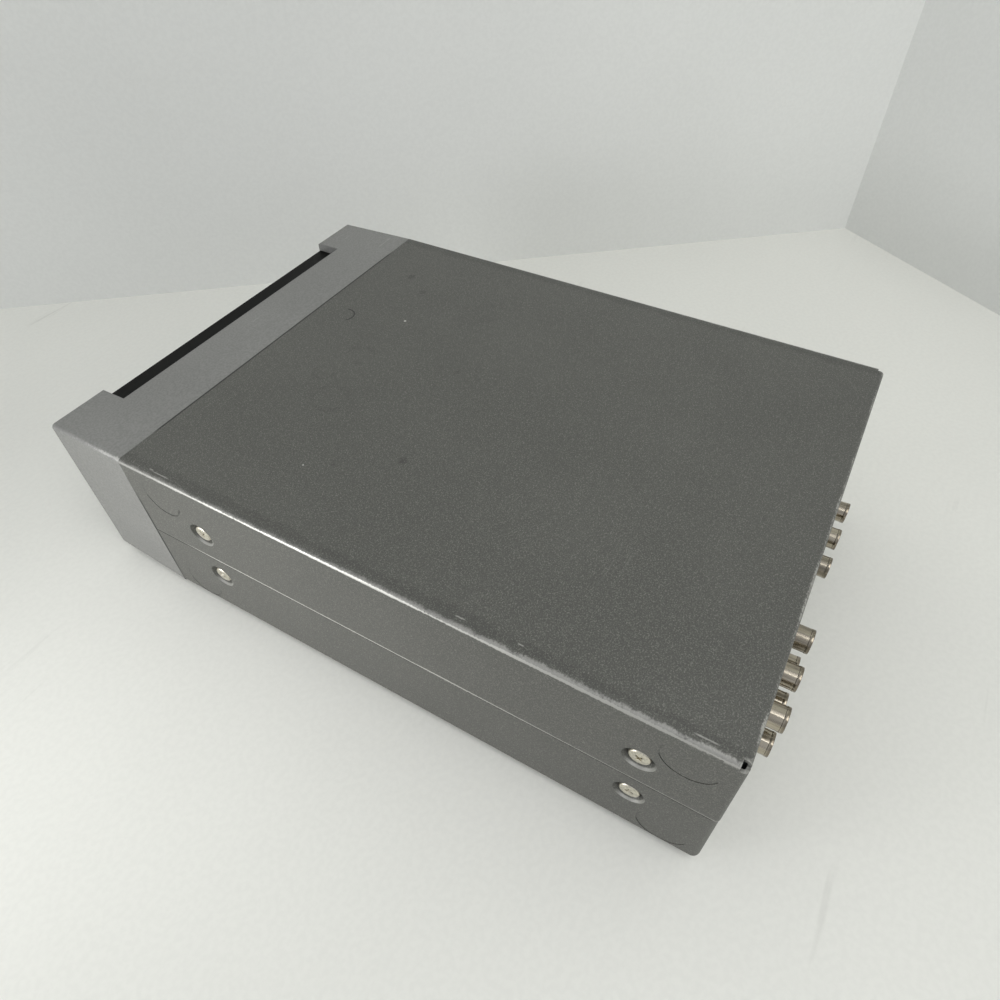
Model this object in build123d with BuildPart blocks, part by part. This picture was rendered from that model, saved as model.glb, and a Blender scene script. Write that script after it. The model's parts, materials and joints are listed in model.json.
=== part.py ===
from build123d import *
from math import cos, radians, sin
import os

# A compact desktop video cassette recorder, in millimetres.
# +X is the recorder's right side seen from its front, -Y its front, +Z up.
# The origin is under the middle of the whole recorder, on the surface it stands on.

os.makedirs("parts", exist_ok=True)

# Case
width = 178.0
cover_depth = 220.5
bezel_depth = 38.0
shell_height = 69.8
lower_side_height = 33.4
sheet = 1.0
upper_bend_radius = 1.6
lower_bend_radius = 2.6
rear_lip = 4.0
corner_relief = 2.3
seam_gap = 0.4
rail_thickness = 0.8
rail_reach = 5.0
rail_start = 8.0
vent_length = 26.0
vent_width = 1.8
vent_pitch = 6.0
vent_count = 11
vent_setbacks = (70.0, 150.0)
foot_height = 3.0
foot_radius = 8.0
foot_inset = 17.0
foot_setback = 19.0
foot_dimple_radius = 3.0
foot_dimple_depth = 1.2

# Clearances
clearance = 0.25
shaft_clearance = 0.05
slide_clearance = 0.2

# Case screws in their dished recesses
screw_setback = 30.0
screw_rear_setback = 25.5
upper_screw_rise = 47.0
lower_screw_rise = 23.0
recess_rim_radius = 5.1
recess_floor_radius = 4.0
recess_depth = 2.0
recess_wall = 0.8
screw_head_radius = 3.1
screw_head_height = 1.6
screw_shank_radius = 1.5
screw_length = 6.0
screw_edge_radius = 0.6
cross_width = 0.9
cross_length = 3.4
cross_depth = 0.9

# Round marks on the right side, for feet when the recorder stands on its left
mark_radius = 8.1
mark_line = 0.4
mark_depth = 0.2
mark_setback = 15.6
mark_rear_setback = 13.1
mark_seen_share = 0.25
upper_mark_rise = 58.6
lower_mark_rise = 10.4

# Front bezel and the panel between its ears
ear_inner = 64.4
ear_length = 21.25
notch_depth = 25.8
bezel_side_taper = 1.2
bezel_top_taper = 0.8
bezel_bottom_taper = 2.0
bezel_wall = 2.2
bezel_skin = 1.6
bezel_edge_radius = 1.0
spigot_length = 4.0
spigot_wall = 1.5
panel_drop = 4.2
panel_rise = 4.6
panel_setback = 0.7
panel_wall = 2.2
panel_side_wall = 1.05
panel_lip_drop = 2.0

# Cassette door
mouth_drop = 7.6
mouth_height = 17.8
door_gap = 0.2
door_setback = 0.4
door_thickness = 2.4
door_pin_radius = 0.5
door_pin_end = 0.1

# Control lid and the recess behind it
lid_half = 57.8
lid_rise = 7.0
lid_height = 17.2
lid_thickness = 2.0
lid_gap = 0.2
lid_stub_radius = 0.6
lid_stub_length = 1.6
lid_grip_radius = 3.0
recess_back_depth = 7.55
recess_back_wall = 1.0

# Push buttons
controls_low_margin = 1.6
controls_high_margin = 3.4
button_proud = 0.5
button_gap = 0.25
button_corner = 1.2
button_flange = 1.0
button_flange_reach = 0.8
button_travel = 0.8
button_rest_gap = 0.1
stem_radius = 1.2
key_width = 17.0
key_pitch = 20.0
key_first_x = 9.0
key_row_gap = 1.8
key_row_margin = 0.5
ear_button_margin = 3.5
ear_button_height = 7.0
ear_button_drop = 14.8
switch_size = 6.0
switch_height = 2.0

# Display
window_left = -60.0
window_width = 56.0
window_step = 1.2
display_margin = 1.0
window_thickness = 1.5

# Knobs, switch and socket behind the lid
knob_radius = 4.2
knob_length = 4.6
knob_bore_depth = 3.0
pot_size = 9.0
pot_depth = 5.0
knob_rise = 13.4
knob_gap = 0.3
knob_shaft_radius = 1.5
knob_pointer_width = 0.8
knob_pointer_depth = 0.5
left_knob_x = -46.0
right_knob_x = -31.0
phones_knob_x = 28.0
phones_rise = 14.0
phones_setback = 0.1
switch_x = -8.0
switch_grip_length = 4.0
switch_grip_height = 2.2
switch_grip_reach = 2.6
switch_travel = 4.5
switch_base_length = 12.0
switch_base_height = 4.4
switch_base_thickness = 0.6
phones_bore_radius = 1.8
phones_neck_radius = 3.2
phones_body = 9.0
phones_bore_length = 14.0
phones_end_wall = 1.0

# Circuit boards
board_thickness = 1.6
front_board_setback = 9.55
front_board_half = 61.8
front_board_margin = 1.2
board_side_gap = 4.8
main_board_front = 7.0
main_board_rear = 14.0
converter_overlap = 8.0
converter_gap = 14.0
converter_rear_gap = 17.25
jack_board_side_gap = 14.0
jack_board_low = 7.0
jack_board_height = 42.0

# Chassis
chassis_sheet = 1.2
chassis_rise = 2.0
chassis_front = 5.0
chassis_rear = 9.0
chassis_wall_rise = 56.0
post_inset = 6.0
post_setback = 16.0
post_middle_setback = 105.0
post_rear_setback = 24.5
post_radius = 2.4
post_height = 4.8
inner_screw_radius = 1.25
inner_screw_head = 2.2
inner_screw_head_height = 1.4
inner_screw_reach = 3.6
shelf_rise = 29.0
shelf_overlap = 6.0
shelf_depth = 12.0
shelf_screw_inset = 2.0

# Rear sockets
jack_overhang = 8.0
jack_radius = 4.15
jack_shell_wall = 0.6
jack_collar = 1.05
jack_flange = 0.4
jack_collar_proud = 0.5
jack_insert_setback = 1.3
jack_contact_radius = 1.65
jack_contact_depth = 9.0
jack_root_depth = 3.0
jack_block_depth = 3.85
jack_block_margin = 7.6
jack_columns = 3
main_jack_x = 21.1
main_jack_pitch = 15.35
side_jack_x = -59.6
side_jack_pitch = 15.95
upper_jack_rise = 36.8
lower_jack_rise = 19.8
rear_panel_sheet = 1.2
rear_panel_corner = 2.4
socket_proud = 0.6
s_video_x = 5.0
s_video_neck = 5.3
s_video_body = 6.4
s_video_groove_outer = 4.6
s_video_groove_inner = 3.5
s_video_groove_depth = 3.2
s_video_contact_radius = 0.45
s_video_contact_circle = 2.1
digital_x = -12.5
digital_width = 13.0
digital_height = 7.2
digital_wall = 0.8
digital_depth = 4.0
digital_tongue = 1.8
remote_x = (-28.0, -40.0)
remote_bores = (1.8, 1.3)
remote_neck = 3.4
remote_body = 4.2
remote_depth = 14.0
inlet_x = -58.0
inlet_width = 13.0
inlet_height = 9.0
inlet_wall = 1.2
inlet_pin_radius = 0.8
inlet_pin_pitch = 6.4
inlet_depth = 4.2
socket_flange = 1.0

# Parts on the main board: a grid of chips, two pairs of connectors and a row of small cans
chip_size = 22.0
chip_height = 2.4
chip_columns = 3
chip_rows = 2
chip_column_pitch = 44.0
chip_row_pitch = 50.0
chip_grid_y = -15.0
connector_width = 6.0
connector_length = 26.0
connector_height = 6.0
front_connector_x = 60.0
front_connector_y = -66.0
rear_connector_x = 38.0
rear_connector_y = 88.0
small_can_count = 3
small_can_x = 44.0
small_can_y = 48.0
small_can_pitch = 8.0
small_can_radius = 3.2
small_can_height = 8.0

# Shield can, power converter parts and the front ribbon cable
can_half = 30.0
can_front = 42.0
can_depth = 40.0
can_height = 9.0
can_wall = 0.5
can_hole_pitch = 10.0
can_hole_columns = 5
can_hole_rows = 3
can_hole_radius = 1.5
transformer_width = 24.0
transformer_depth = 20.0
transformer_height = 16.0
coil_x = 34.0
coil_radius = 7.0
coil_bore_radius = 3.5
coil_height = 9.0
capacitor_radius = 4.0
capacitor_height = 14.0
capacitor_setback = 10.0
capacitor_pitch = 12.0
ribbon_x = -14.0
ribbon_width = 20.0
ribbon_thickness = 0.3
ribbon_rise = 24.0
ribbon_run = 8.0
ribbon_end = 12.0
ribbon_lift = 4.0

# Tape mechanism
plate_sheet = 1.2
plate_margin = 0.7
plate_front = 27.25
plate_depth = 142.0
drum_setback = 126.0
drum_radius = 10.85
drum_half_height = 10.0
drum_pedestal_radius = 8.0
drum_pedestal_height = 2.8
drum_gap = 0.1
drum_shaft_radius = 1.5
drum_step = 0.25
drum_chamfer = 0.5
capstan_x = 34.0
capstan_setback = 122.0
capstan_radius = 1.25
capstan_height = 20.0
flywheel_radius = 14.0
flywheel_thickness = 3.0
flywheel_drop = 3.0
flywheel_recess_radius = 9.8
flywheel_hub_radius = 2.5
bearing_radius = 5.0
bearing_height = 3.3
pinch_pivot_x = 50.0
pinch_pivot_setback = 132.0
pinch_arm_length = 15.9
pinch_engaged_angle = 229.6
pinch_swing = 20.0
pinch_roller_radius = 4.5
pinch_roller_height = 9.0
pinch_arm_rise = 4.8
pinch_arm_thickness = 2.0
pinch_arm_half = 3.2
pinch_pin_radius = 1.2
pivot_radius = 1.5
reel_spacing = 61.4
reel_setback = 52.25
reel_disc_radius = 13.0
reel_disc_thickness = 2.0
reel_hub_radius = 4.6
reel_hub_height = 6.8
reel_fin_reach = 1.0
reel_boss_radius = 3.0
reel_boss_height = 1.8
guide_x = 18.5
guide_start = 91.25
guide_travel = 32.0
guide_width = 6.0
guide_length = 8.0
guide_thickness = 3.0
guide_slot = 3.0
guide_keeper_width = 5.0
guide_keeper_thickness = 1.5
guide_post_radius = 1.4
guide_post_height = 13.0
guide_flange_radius = 2.24
cam_x = -38.0
cam_setback = 128.0
cam_radius = 11.0
cam_thickness = 3.0
cam_teeth = 24
cam_tooth = 1.0
cam_tooth_width = 1.4
cam_boss_height = 2.4
tension_pivot_x = -46.0
tension_pivot_setback = 104.0
tension_length = 17.0
tension_angle = -20.0
tension_half = 2.0
tension_rise = 1.0
tension_thickness = 1.5
tension_post_height = 14.0
motor_radius = 4.2
motor_length = 20.0
motor_inset = 10.0
motor_setback = 114.5
gearbox_length = 7.0
gearbox_half = 4.6

# Cassette carriage, for a cassette of the large size
cassette_width = 125.0
cassette_height = 14.6
cassette_room = 0.4
holder_depth = 76.0
holder_sheet = 0.8
holder_lip = 11.0
holder_gap = 2.3
holder_step = 0.6
holder_drop = 11.0
carriage_travel = 40.0
slider_sheet = 1.0
slider_gap = 0.8
slider_bar = 6.0
slider_wall_margin = 9.0
slider_start = 4.0
slider_depth = 68.0
carriage_gap = 0.8
carriage_wall = 1.0
carriage_bridge = 15.0
carriage_bridge_setback = 34.0
carriage_rear_margin = 8.3

# Places that follow from the sizes above
half = width / 2
overall_depth = bezel_depth + cover_depth + jack_overhang
front_y = -overall_depth / 2
seam_y = front_y + bezel_depth
rear_y = seam_y + cover_depth
jack_end_y = rear_y + jack_overhang
bottom_z = foot_height
top_z = bottom_z + shell_height
seam_z = bottom_z + lower_side_height
inner_half = half - sheet
floor_z = bottom_z + sheet
ceiling_z = top_z - sheet

screw_setbacks = (screw_setback, cover_depth - screw_rear_setback)
mark_setbacks = (mark_setback, cover_depth - mark_rear_setback)
post_setbacks = (post_setback, post_middle_setback, cover_depth - post_rear_setback)

chassis_half = half - recess_depth - sheet
chassis_z = floor_z + chassis_rise
chassis_front_y = seam_y + chassis_front
chassis_rear_y = rear_y - chassis_rear
board_z = chassis_z + chassis_sheet + post_height
main_board_half = chassis_half - chassis_sheet - board_side_gap
post_x = main_board_half - post_inset
jack_board_half = inner_half - jack_board_side_gap
shelf_z = bottom_z + shelf_rise

notch_y = seam_y - notch_depth
ear_end_y = front_y + ear_length
panel_half = ear_inner - clearance
panel_face_y = front_y + panel_setback
panel_inner_y = panel_face_y + panel_wall
panel_back_y = notch_y - clearance
panel_low_z = bottom_z + panel_rise
panel_high_z = top_z - panel_drop

mouth_half = panel_half - panel_side_wall
mouth_high_z = top_z - mouth_drop
mouth_low_z = mouth_high_z - mouth_height
door_radius = door_thickness / 2
door_axis_y = panel_face_y + door_setback + door_radius
door_axis_z = mouth_high_z - door_gap - door_radius

lid_low_z = bottom_z + lid_rise
lid_high_z = lid_low_z + lid_height
lid_radius = lid_thickness / 2
lid_axis_y = panel_face_y + lid_radius
lid_axis_z = lid_low_z + lid_radius
recess_y = panel_face_y + recess_back_depth
front_board_y = panel_face_y + front_board_setback
front_board_top = mouth_low_z - front_board_margin

recess_top_z = lid_high_z + lid_gap + recess_back_wall
window_height = mouth_low_z - recess_top_z - controls_low_margin - controls_high_margin
controls_z = recess_top_z + controls_low_margin + window_height / 2
key_height = (window_height - key_row_gap) / 2 - key_row_margin
key_row_pitch = key_height + key_row_gap
knob_z = bottom_z + knob_rise
cavity_half = half - bezel_side_taper - bezel_wall
ear_button_x = (ear_inner + bezel_wall + cavity_half) / 2
ear_button_width = cavity_half - ear_inner - bezel_wall - 2 * ear_button_margin
ear_button_z = top_z - ear_button_drop
switch_face = button_travel + button_rest_gap
phones_place = (-ear_button_x, bottom_z + phones_rise)

panel_seat_y = rear_y - sheet - shaft_clearance
rear_panel_y = panel_seat_y - rear_panel_sheet
rear_panel_gap = lower_bend_radius - sheet + shaft_clearance
jack_face_y = rear_panel_y - jack_block_depth
jack_board_y = jack_face_y - board_thickness
upper_jack_z = bottom_z + upper_jack_rise
lower_jack_z = bottom_z + lower_jack_rise
main_jack_xs = [main_jack_x + column * main_jack_pitch for column in range(jack_columns)]
side_jack_xs = [side_jack_x + column * side_jack_pitch for column in range(jack_columns)]
jack_places = [(x, z) for x in main_jack_xs for z in (upper_jack_z, lower_jack_z)]
jack_places += [(x, lower_jack_z) for x in side_jack_xs]
s_video_places = [(s_video_x, upper_jack_z), (s_video_x, lower_jack_z)]
socket_y = panel_seat_y + socket_proud

plate_z = shelf_z + plate_sheet
plate_front_y = front_y + plate_front
plate_rear_y = plate_front_y + plate_depth
converter_front = plate_rear_y + converter_gap
converter_depth = rear_y - converter_rear_gap - converter_front
drum_y = plate_front_y + drum_setback
capstan_y = plate_front_y + capstan_setback
pinch_pivot_y = plate_front_y + pinch_pivot_setback
cam_y = plate_front_y + cam_setback
tension_pivot_y = plate_front_y + tension_pivot_setback
motor_y = plate_front_y + motor_setback
drum_low_z = plate_z + drum_pedestal_height
drum_split_z = drum_low_z + drum_half_height
reel_y = seam_y + reel_setback
guide_y = seam_y + guide_start

holder_inner = cassette_width / 2 + cassette_room
holder_half = holder_inner + holder_sheet
holder_low_z = mouth_low_z + holder_step
holder_floor_z = holder_low_z + holder_sheet
holder_roof_z = holder_floor_z + cassette_height + 2 * cassette_room
holder_top_z = holder_roof_z + holder_sheet
door_reach = mouth_height - 2 * door_gap - door_radius
holder_front_y = door_axis_y + door_reach + holder_gap
holder_rear_y = holder_front_y + holder_depth
slider_half = holder_half + slider_gap + slider_sheet
slider_top_z = holder_top_z + slider_gap + slider_sheet
slider_front_y = ear_end_y + slider_start
slider_rear_y = slider_front_y + slider_depth
slider_height = holder_drop + slider_wall_margin
carriage_half = slider_half + carriage_gap + carriage_wall
carriage_top_z = slider_top_z + carriage_gap + carriage_wall
plate_half = carriage_half + plate_margin
motor_x = motor_inset - plate_half
shelf_inner = plate_half - shelf_overlap
shelf_screw_x = shelf_inner + shelf_screw_inset
converter_half = shelf_inner + converter_overlap


# A box given by its low and high ends along X, Y and Z
def block(x, y, z, mode=Mode.ADD):
    with Locations(((x[0] + x[1]) / 2, (y[0] + y[1]) / 2, (z[0] + z[1]) / 2)):
        Box(x[1] - x[0], y[1] - y[0], z[1] - z[0], mode=mode)


# The same box on both sides of the middle, given by its inner and outer distance
def block_pair(x, y, z, mode=Mode.ADD):
    block(x, y, z, mode)
    block((-x[1], -x[0]), y, z, mode)


# Cylinders along Y between two depths, each at its (x, z)
def rods(radius, y, places, mode=Mode.ADD):
    with Locations([Plane(origin=(x, y[0], z), z_dir=(0, 1, 0)) for x, z in places]):
        Cylinder(radius, y[1] - y[0], align=(Align.CENTER, Align.CENTER, Align.MIN), mode=mode)


# Cylinders along Z between two heights, each at its (x, y)
def posts(radius, z, places, mode=Mode.ADD):
    with Locations([(x, y, z[0]) for x, y in places]):
        Cylinder(radius, z[1] - z[0], align=(Align.CENTER, Align.CENTER, Align.MIN), mode=mode)


# Planes on the outside of the left and right sides that look inwards, at given
# distances behind the seam and heights above the underside
def side_planes(depth, setbacks, rises):
    planes = []
    for side in (-1, 1):
        for setback in setbacks:
            for rise in rises:
                origin = (side * (half - depth), seam_y + setback, bottom_z + rise)
                planes.append(Plane(origin=origin, z_dir=(-side, 0, 0)))
    return planes


# A cylinder or a cone that starts on such planes and goes inwards
def side_cones(planes, start_radius, end_radius, length, mode=Mode.ADD):
    with Locations(planes):
        if start_radius == end_radius:
            Cylinder(start_radius, length, align=(Align.CENTER, Align.CENTER, Align.MIN), mode=mode)
        else:
            Cone(start_radius, end_radius, length, align=(Align.CENTER, Align.CENTER, Align.MIN), mode=mode)


# Dished screw recesses pressed into both sides of a cover at one height
def screw_recesses(rise):
    planes = side_planes(0, screw_setbacks, [rise])
    cup_depth = recess_depth + sheet
    cup_floor = recess_floor_radius + recess_wall
    side_cones(planes, recess_rim_radius + recess_wall, cup_floor, cup_depth)
    side_cones(planes, recess_rim_radius, recess_floor_radius, recess_depth, Mode.SUBTRACT)
    shank_hole = screw_shank_radius + clearance
    side_cones(planes, shank_hole, shank_hole, 2 * cup_depth, Mode.SUBTRACT)


# Engraved lower parts of the foot circles on the right side
def foot_marks(rise):
    with BuildSketch(Plane.YZ.offset(half)) as mark:
        with Locations(*[(seam_y + setback, bottom_z + rise) for setback in mark_setbacks]):
            Circle(mark_radius + mark_line / 2)
            Circle(mark_radius - mark_line / 2, mode=Mode.SUBTRACT)
        band_middle = bottom_z + rise + mark_radius * (1 + mark_seen_share)
        for setback in mark_setbacks:
            with Locations((seam_y + setback, band_middle)):
                Rectangle(mark_radius * 3, mark_radius * 3, mode=Mode.SUBTRACT)
    extrude(mark.sketch, amount=-mark_depth, mode=Mode.SUBTRACT)


# Rounding of a button's corners, limited by a short side
def button_rounding(size):
    return min(button_corner, min(size) / 3)


# The outline of a button's hole in its wall
def button_hole(size):
    rounding = button_rounding(size) + button_gap
    RectangleRounded(size[0] + 2 * button_gap, size[1] + 2 * button_gap, rounding)


# Labels a finished piece and writes it as its own file
def save(piece, name):
    piece.part.label = name
    export_step(piece.part, f"parts/{name}.step")


# Upper cover: top, upper halves of the sides and folded lips at the rear
with BuildPart() as upper_cover:
    block((-half, half), (seam_y, rear_y), (seam_z + seam_gap, top_z))
    long_bends = upper_cover.edges().filter_by(Axis.Y).group_by(Axis.Z)[-1]
    rear_bends = upper_cover.faces().sort_by(Axis.Y)[-1].edges().sort_by(Axis.Z)[1:]
    fillet(long_bends + rear_bends, upper_bend_radius)
    front_face = upper_cover.faces().sort_by(Axis.Y)[0]
    under_face = upper_cover.faces().sort_by(Axis.Z)[0]
    offset(amount=-sheet, openings=[front_face, under_face])
    block(
        (-half + rear_lip, half - rear_lip),
        (rear_y - 2 * sheet, rear_y + sheet),
        (seam_z - sheet, top_z - rear_lip),
        Mode.SUBTRACT,
    )
    with Locations((-half, rear_y, top_z), (half, rear_y, top_z)):
        Box(2 * corner_relief, 2 * corner_relief, 2 * corner_relief, mode=Mode.SUBTRACT)
    screw_recesses(upper_screw_rise)
    foot_marks(upper_mark_rise)
save(upper_cover, "upper_cover")

# Lower cover: bottom with cooling slots, lower halves of the sides, rear lips and
# an inner rail on each side that backs the seam
foot_places = [
    (side * (half - foot_inset), y)
    for side in (-1, 1)
    for y in (seam_y + foot_setback, rear_y - foot_setback)
]
with BuildPart() as lower_cover:
    block((-half, half), (seam_y, rear_y), (bottom_z, seam_z))
    long_bends = lower_cover.edges().filter_by(Axis.Y).group_by(Axis.Z)[0]
    rear_bends = lower_cover.faces().sort_by(Axis.Y)[-1].edges().sort_by(Axis.Z)[:-1]
    fillet(long_bends + rear_bends, lower_bend_radius)
    front_face = lower_cover.faces().sort_by(Axis.Y)[0]
    over_face = lower_cover.faces().sort_by(Axis.Z)[-1]
    offset(amount=-sheet, openings=[front_face, over_face])
    block(
        (-half + rear_lip, half - rear_lip),
        (rear_y - 2 * sheet, rear_y + sheet),
        (bottom_z + rear_lip, seam_z + sheet),
        Mode.SUBTRACT,
    )
    rail_outer = inner_half - shaft_clearance
    rail_y = (seam_y + rail_start, rear_y - rear_lip)
    block_pair((rail_outer - rail_thickness, inner_half), rail_y, (seam_z - rail_reach, seam_z))
    block_pair((rail_outer - rail_thickness, rail_outer), rail_y, (seam_z, seam_z + rail_reach))
    for setback in vent_setbacks:
        with BuildSketch(Plane.XY.offset(bottom_z)) as vents:
            with Locations((0, seam_y + setback)):
                with GridLocations(vent_pitch, 0, vent_count, 1):
                    SlotOverall(vent_length, vent_width, rotation=90)
        extrude(amount=sheet, mode=Mode.SUBTRACT)
    screw_recesses(lower_screw_rise)
    foot_marks(lower_mark_rise)
save(lower_cover, "lower_cover")

# Case screws: eight pan heads with a cross recess, seated in the dished recesses
with BuildPart() as case_screws:
    screw_rises = (lower_screw_rise, upper_screw_rise)
    head_planes = side_planes(recess_depth - screw_head_height, screw_setbacks, screw_rises)
    side_cones(head_planes, screw_head_radius, screw_head_radius, screw_head_height)
    head_top = half - recess_depth + screw_head_height
    crowns = case_screws.edges().filter_by(GeomType.CIRCLE)
    crowns = crowns.filter_by(lambda edge: abs(abs(edge.center().X) - head_top) < screw_edge_radius / 2)
    fillet(crowns, screw_edge_radius)
    with Locations(head_planes):
        Box(cross_length, cross_width, 2 * cross_depth, mode=Mode.SUBTRACT)
        Box(cross_width, cross_length, 2 * cross_depth, mode=Mode.SUBTRACT)
    shank_planes = side_planes(recess_depth, screw_setbacks, screw_rises)
    side_cones(shank_planes, screw_shank_radius, screw_shank_radius, screw_length)
save(case_screws, "case_screws")

# Rubber feet
with BuildPart() as rubber_feet:
    posts(foot_radius, (0, foot_height), foot_places)
    chamfer(rubber_feet.edges().filter_by(GeomType.CIRCLE).group_by(Axis.Z)[0], foot_height / 4)
    posts(foot_dimple_radius, (0, foot_dimple_depth), foot_places, Mode.SUBTRACT)
save(rubber_feet, "rubber_feet")

# Chassis: folded tray with shelves, inside the covers, which all case screws hold to
board_places = [(x, seam_y + setback) for x in (-post_x, post_x) for setback in post_setbacks]
shelf_starts = (
    chassis_front_y,
    plate_rear_y - shelf_depth,
    converter_front,
    converter_front + converter_depth - shelf_depth,
)
shelf_places = [(x, y + shelf_depth / 2) for x in (-shelf_screw_x, shelf_screw_x) for y in shelf_starts]
with BuildPart() as chassis_frame:
    chassis_y = (chassis_front_y, chassis_rear_y)
    block((-chassis_half, chassis_half), chassis_y, (chassis_z, chassis_z + chassis_sheet))
    wall_z = (chassis_z, bottom_z + chassis_wall_rise)
    block_pair((chassis_half - chassis_sheet, chassis_half), chassis_y, wall_z)
    for y in shelf_starts:
        block_pair((shelf_inner, chassis_half), (y, y + shelf_depth), (shelf_z - chassis_sheet, shelf_z))
    posts(post_radius, (chassis_z, board_z), board_places)
    tapped_radius = inner_screw_radius + shaft_clearance
    posts(tapped_radius, (chassis_z - sheet, board_z + sheet), board_places, Mode.SUBTRACT)
    posts(tapped_radius, (shelf_z - 2 * chassis_sheet, shelf_z + sheet), shelf_places, Mode.SUBTRACT)
    shank_hole = screw_shank_radius + shaft_clearance
    hole_planes = side_planes(recess_depth, screw_setbacks, screw_rises)
    side_cones(hole_planes, shank_hole, shank_hole, screw_length + clearance, Mode.SUBTRACT)
    for setback in vent_setbacks:
        with BuildSketch(Plane.XY.offset(chassis_z)):
            with Locations((0, seam_y + setback)):
                RectangleRounded(vent_pitch * vent_count, vent_length, vent_pitch)
        extrude(amount=chassis_sheet, mode=Mode.SUBTRACT)
save(chassis_frame, "chassis_frame")

# Front bezel: tapered frame with two hollow ears and a notch between them
bezel_low_front = bottom_z + bezel_bottom_taper
bezel_high_front = top_z - bezel_top_taper
with BuildPart() as front_bezel:
    with BuildSketch(Plane.XZ.offset(-seam_y)):
        with Locations((0, (bottom_z + top_z) / 2)):
            RectangleRounded(width, shell_height, upper_bend_radius)
    with BuildSketch(Plane.XZ.offset(-front_y)):
        with Locations((0, (bezel_low_front + bezel_high_front) / 2)):
            front_width = width - 2 * bezel_side_taper
            RectangleRounded(front_width, bezel_high_front - bezel_low_front, upper_bend_radius)
    loft()
    fillet(front_bezel.faces().sort_by(Axis.Y)[0].edges(), bezel_edge_radius)
    cavity_z = (bezel_low_front + bezel_skin, bezel_high_front - bezel_skin)
    notch_lip_y = notch_y + bezel_skin
    block((-cavity_half, cavity_half), (ear_end_y, seam_y), cavity_z, Mode.SUBTRACT)
    block((-ear_inner, ear_inner), (notch_lip_y, ear_end_y), cavity_z, Mode.SUBTRACT)
    lip_z = (cavity_z[0], panel_high_z - panel_lip_drop)
    block((-ear_inner, ear_inner), (notch_y, notch_lip_y), lip_z, Mode.SUBTRACT)
    block((-ear_inner, ear_inner), (front_y - sheet, notch_y), (panel_low_z, top_z + sheet), Mode.SUBTRACT)
    ear_cavity_x = (ear_inner + bezel_wall, cavity_half)
    block_pair(ear_cavity_x, (front_y + bezel_wall, ear_end_y), cavity_z, Mode.SUBTRACT)
    with BuildSketch(Plane.XZ.offset(-front_y + sheet)):
        with Locations((-ear_button_x, ear_button_z), (ear_button_x, ear_button_z)):
            button_hole((ear_button_width, ear_button_height))
    extrude(amount=-(bezel_wall + 2 * sheet), mode=Mode.SUBTRACT)
    phones_hole_y = (front_y - sheet, front_y + bezel_wall + sheet)
    rods(phones_neck_radius + shaft_clearance, phones_hole_y, [phones_place], Mode.SUBTRACT)
    spigot_half = inner_half - clearance
    spigot_height = ceiling_z - floor_z - 2 * clearance
    with BuildSketch(Plane.XZ.offset(-seam_y)):
        with Locations((0, (floor_z + ceiling_z) / 2)):
            RectangleRounded(2 * spigot_half, spigot_height, lower_bend_radius)
            Rectangle(2 * (spigot_half - spigot_wall), spigot_height - 2 * spigot_wall, mode=Mode.SUBTRACT)
    extrude(amount=-spigot_length)
save(front_bezel, "front_bezel")

# Front panel: black shell between the ears, with the cassette mouth, the keys, the
# display and the recess for the control lid
key_places = [
    (key_first_x + column * key_pitch, controls_z + row * key_row_pitch / 2)
    for row in (1, -1)
    for column in range(3)
]
window_x = window_left + window_width / 2
with BuildPart() as front_panel:
    block((-panel_half, panel_half), (panel_face_y, panel_back_y), (panel_low_z, panel_high_z))
    inner_z = (panel_low_z + panel_wall, panel_high_z - panel_wall)
    block((-mouth_half, mouth_half), (panel_inner_y, panel_back_y + sheet), inner_z, Mode.SUBTRACT)
    recess_half = lid_half + lid_gap
    recess_z = (lid_low_z - lid_gap, lid_high_z + lid_gap)
    block(
        (-recess_half - recess_back_wall, recess_half + recess_back_wall),
        (panel_inner_y, recess_y + recess_back_wall),
        (panel_low_z, recess_top_z),
    )
    block((-recess_half, recess_half), (panel_face_y, recess_y), recess_z, Mode.SUBTRACT)
    with BuildSketch(Plane.XZ.offset(-panel_face_y)):
        with Locations((0, (mouth_low_z + mouth_high_z) / 2)):
            Rectangle(2 * mouth_half, mouth_height)
        with Locations(*key_places):
            button_hole((key_width, key_height))
        with Locations((window_x, controls_z)):
            Rectangle(window_width - 2 * window_step, window_height - 2 * window_step)
    extrude(amount=-panel_wall, mode=Mode.SUBTRACT)
    with BuildSketch(Plane.XZ.offset(-panel_face_y)):
        with Locations((window_x, controls_z)):
            Rectangle(window_width + 2 * shaft_clearance, window_height + 2 * shaft_clearance)
    extrude(amount=-window_thickness, mode=Mode.SUBTRACT)
    knob_places = [(x, knob_z) for x in (left_knob_x, right_knob_x, phones_knob_x)]
    recess_wall_y = (recess_y - sheet, recess_y + 2 * recess_back_wall)
    rods(knob_shaft_radius + clearance, recess_wall_y, knob_places, Mode.SUBTRACT)
    slot_half = (switch_grip_length + switch_travel) / 2 + clearance
    slot_rise = switch_grip_height / 2 + clearance
    switch_slot_x = (switch_x - slot_half, switch_x + slot_half)
    block(switch_slot_x, recess_wall_y, (knob_z - slot_rise, knob_z + slot_rise), Mode.SUBTRACT)
    lid_axis = Plane(origin=(0, lid_axis_y, lid_axis_z), z_dir=(1, 0, 0))
    with Locations(lid_axis):
        lid_pin_length = 2 * (lid_half + lid_stub_length + clearance)
        Cylinder(lid_stub_radius + shaft_clearance, lid_pin_length, mode=Mode.SUBTRACT)
    door_axis = Plane(origin=(0, door_axis_y, door_axis_z), z_dir=(1, 0, 0))
    with Locations(door_axis):
        Cylinder(door_pin_radius + shaft_clearance, 2 * panel_half + sheet, mode=Mode.SUBTRACT)
save(front_panel, "front_panel")

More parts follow.
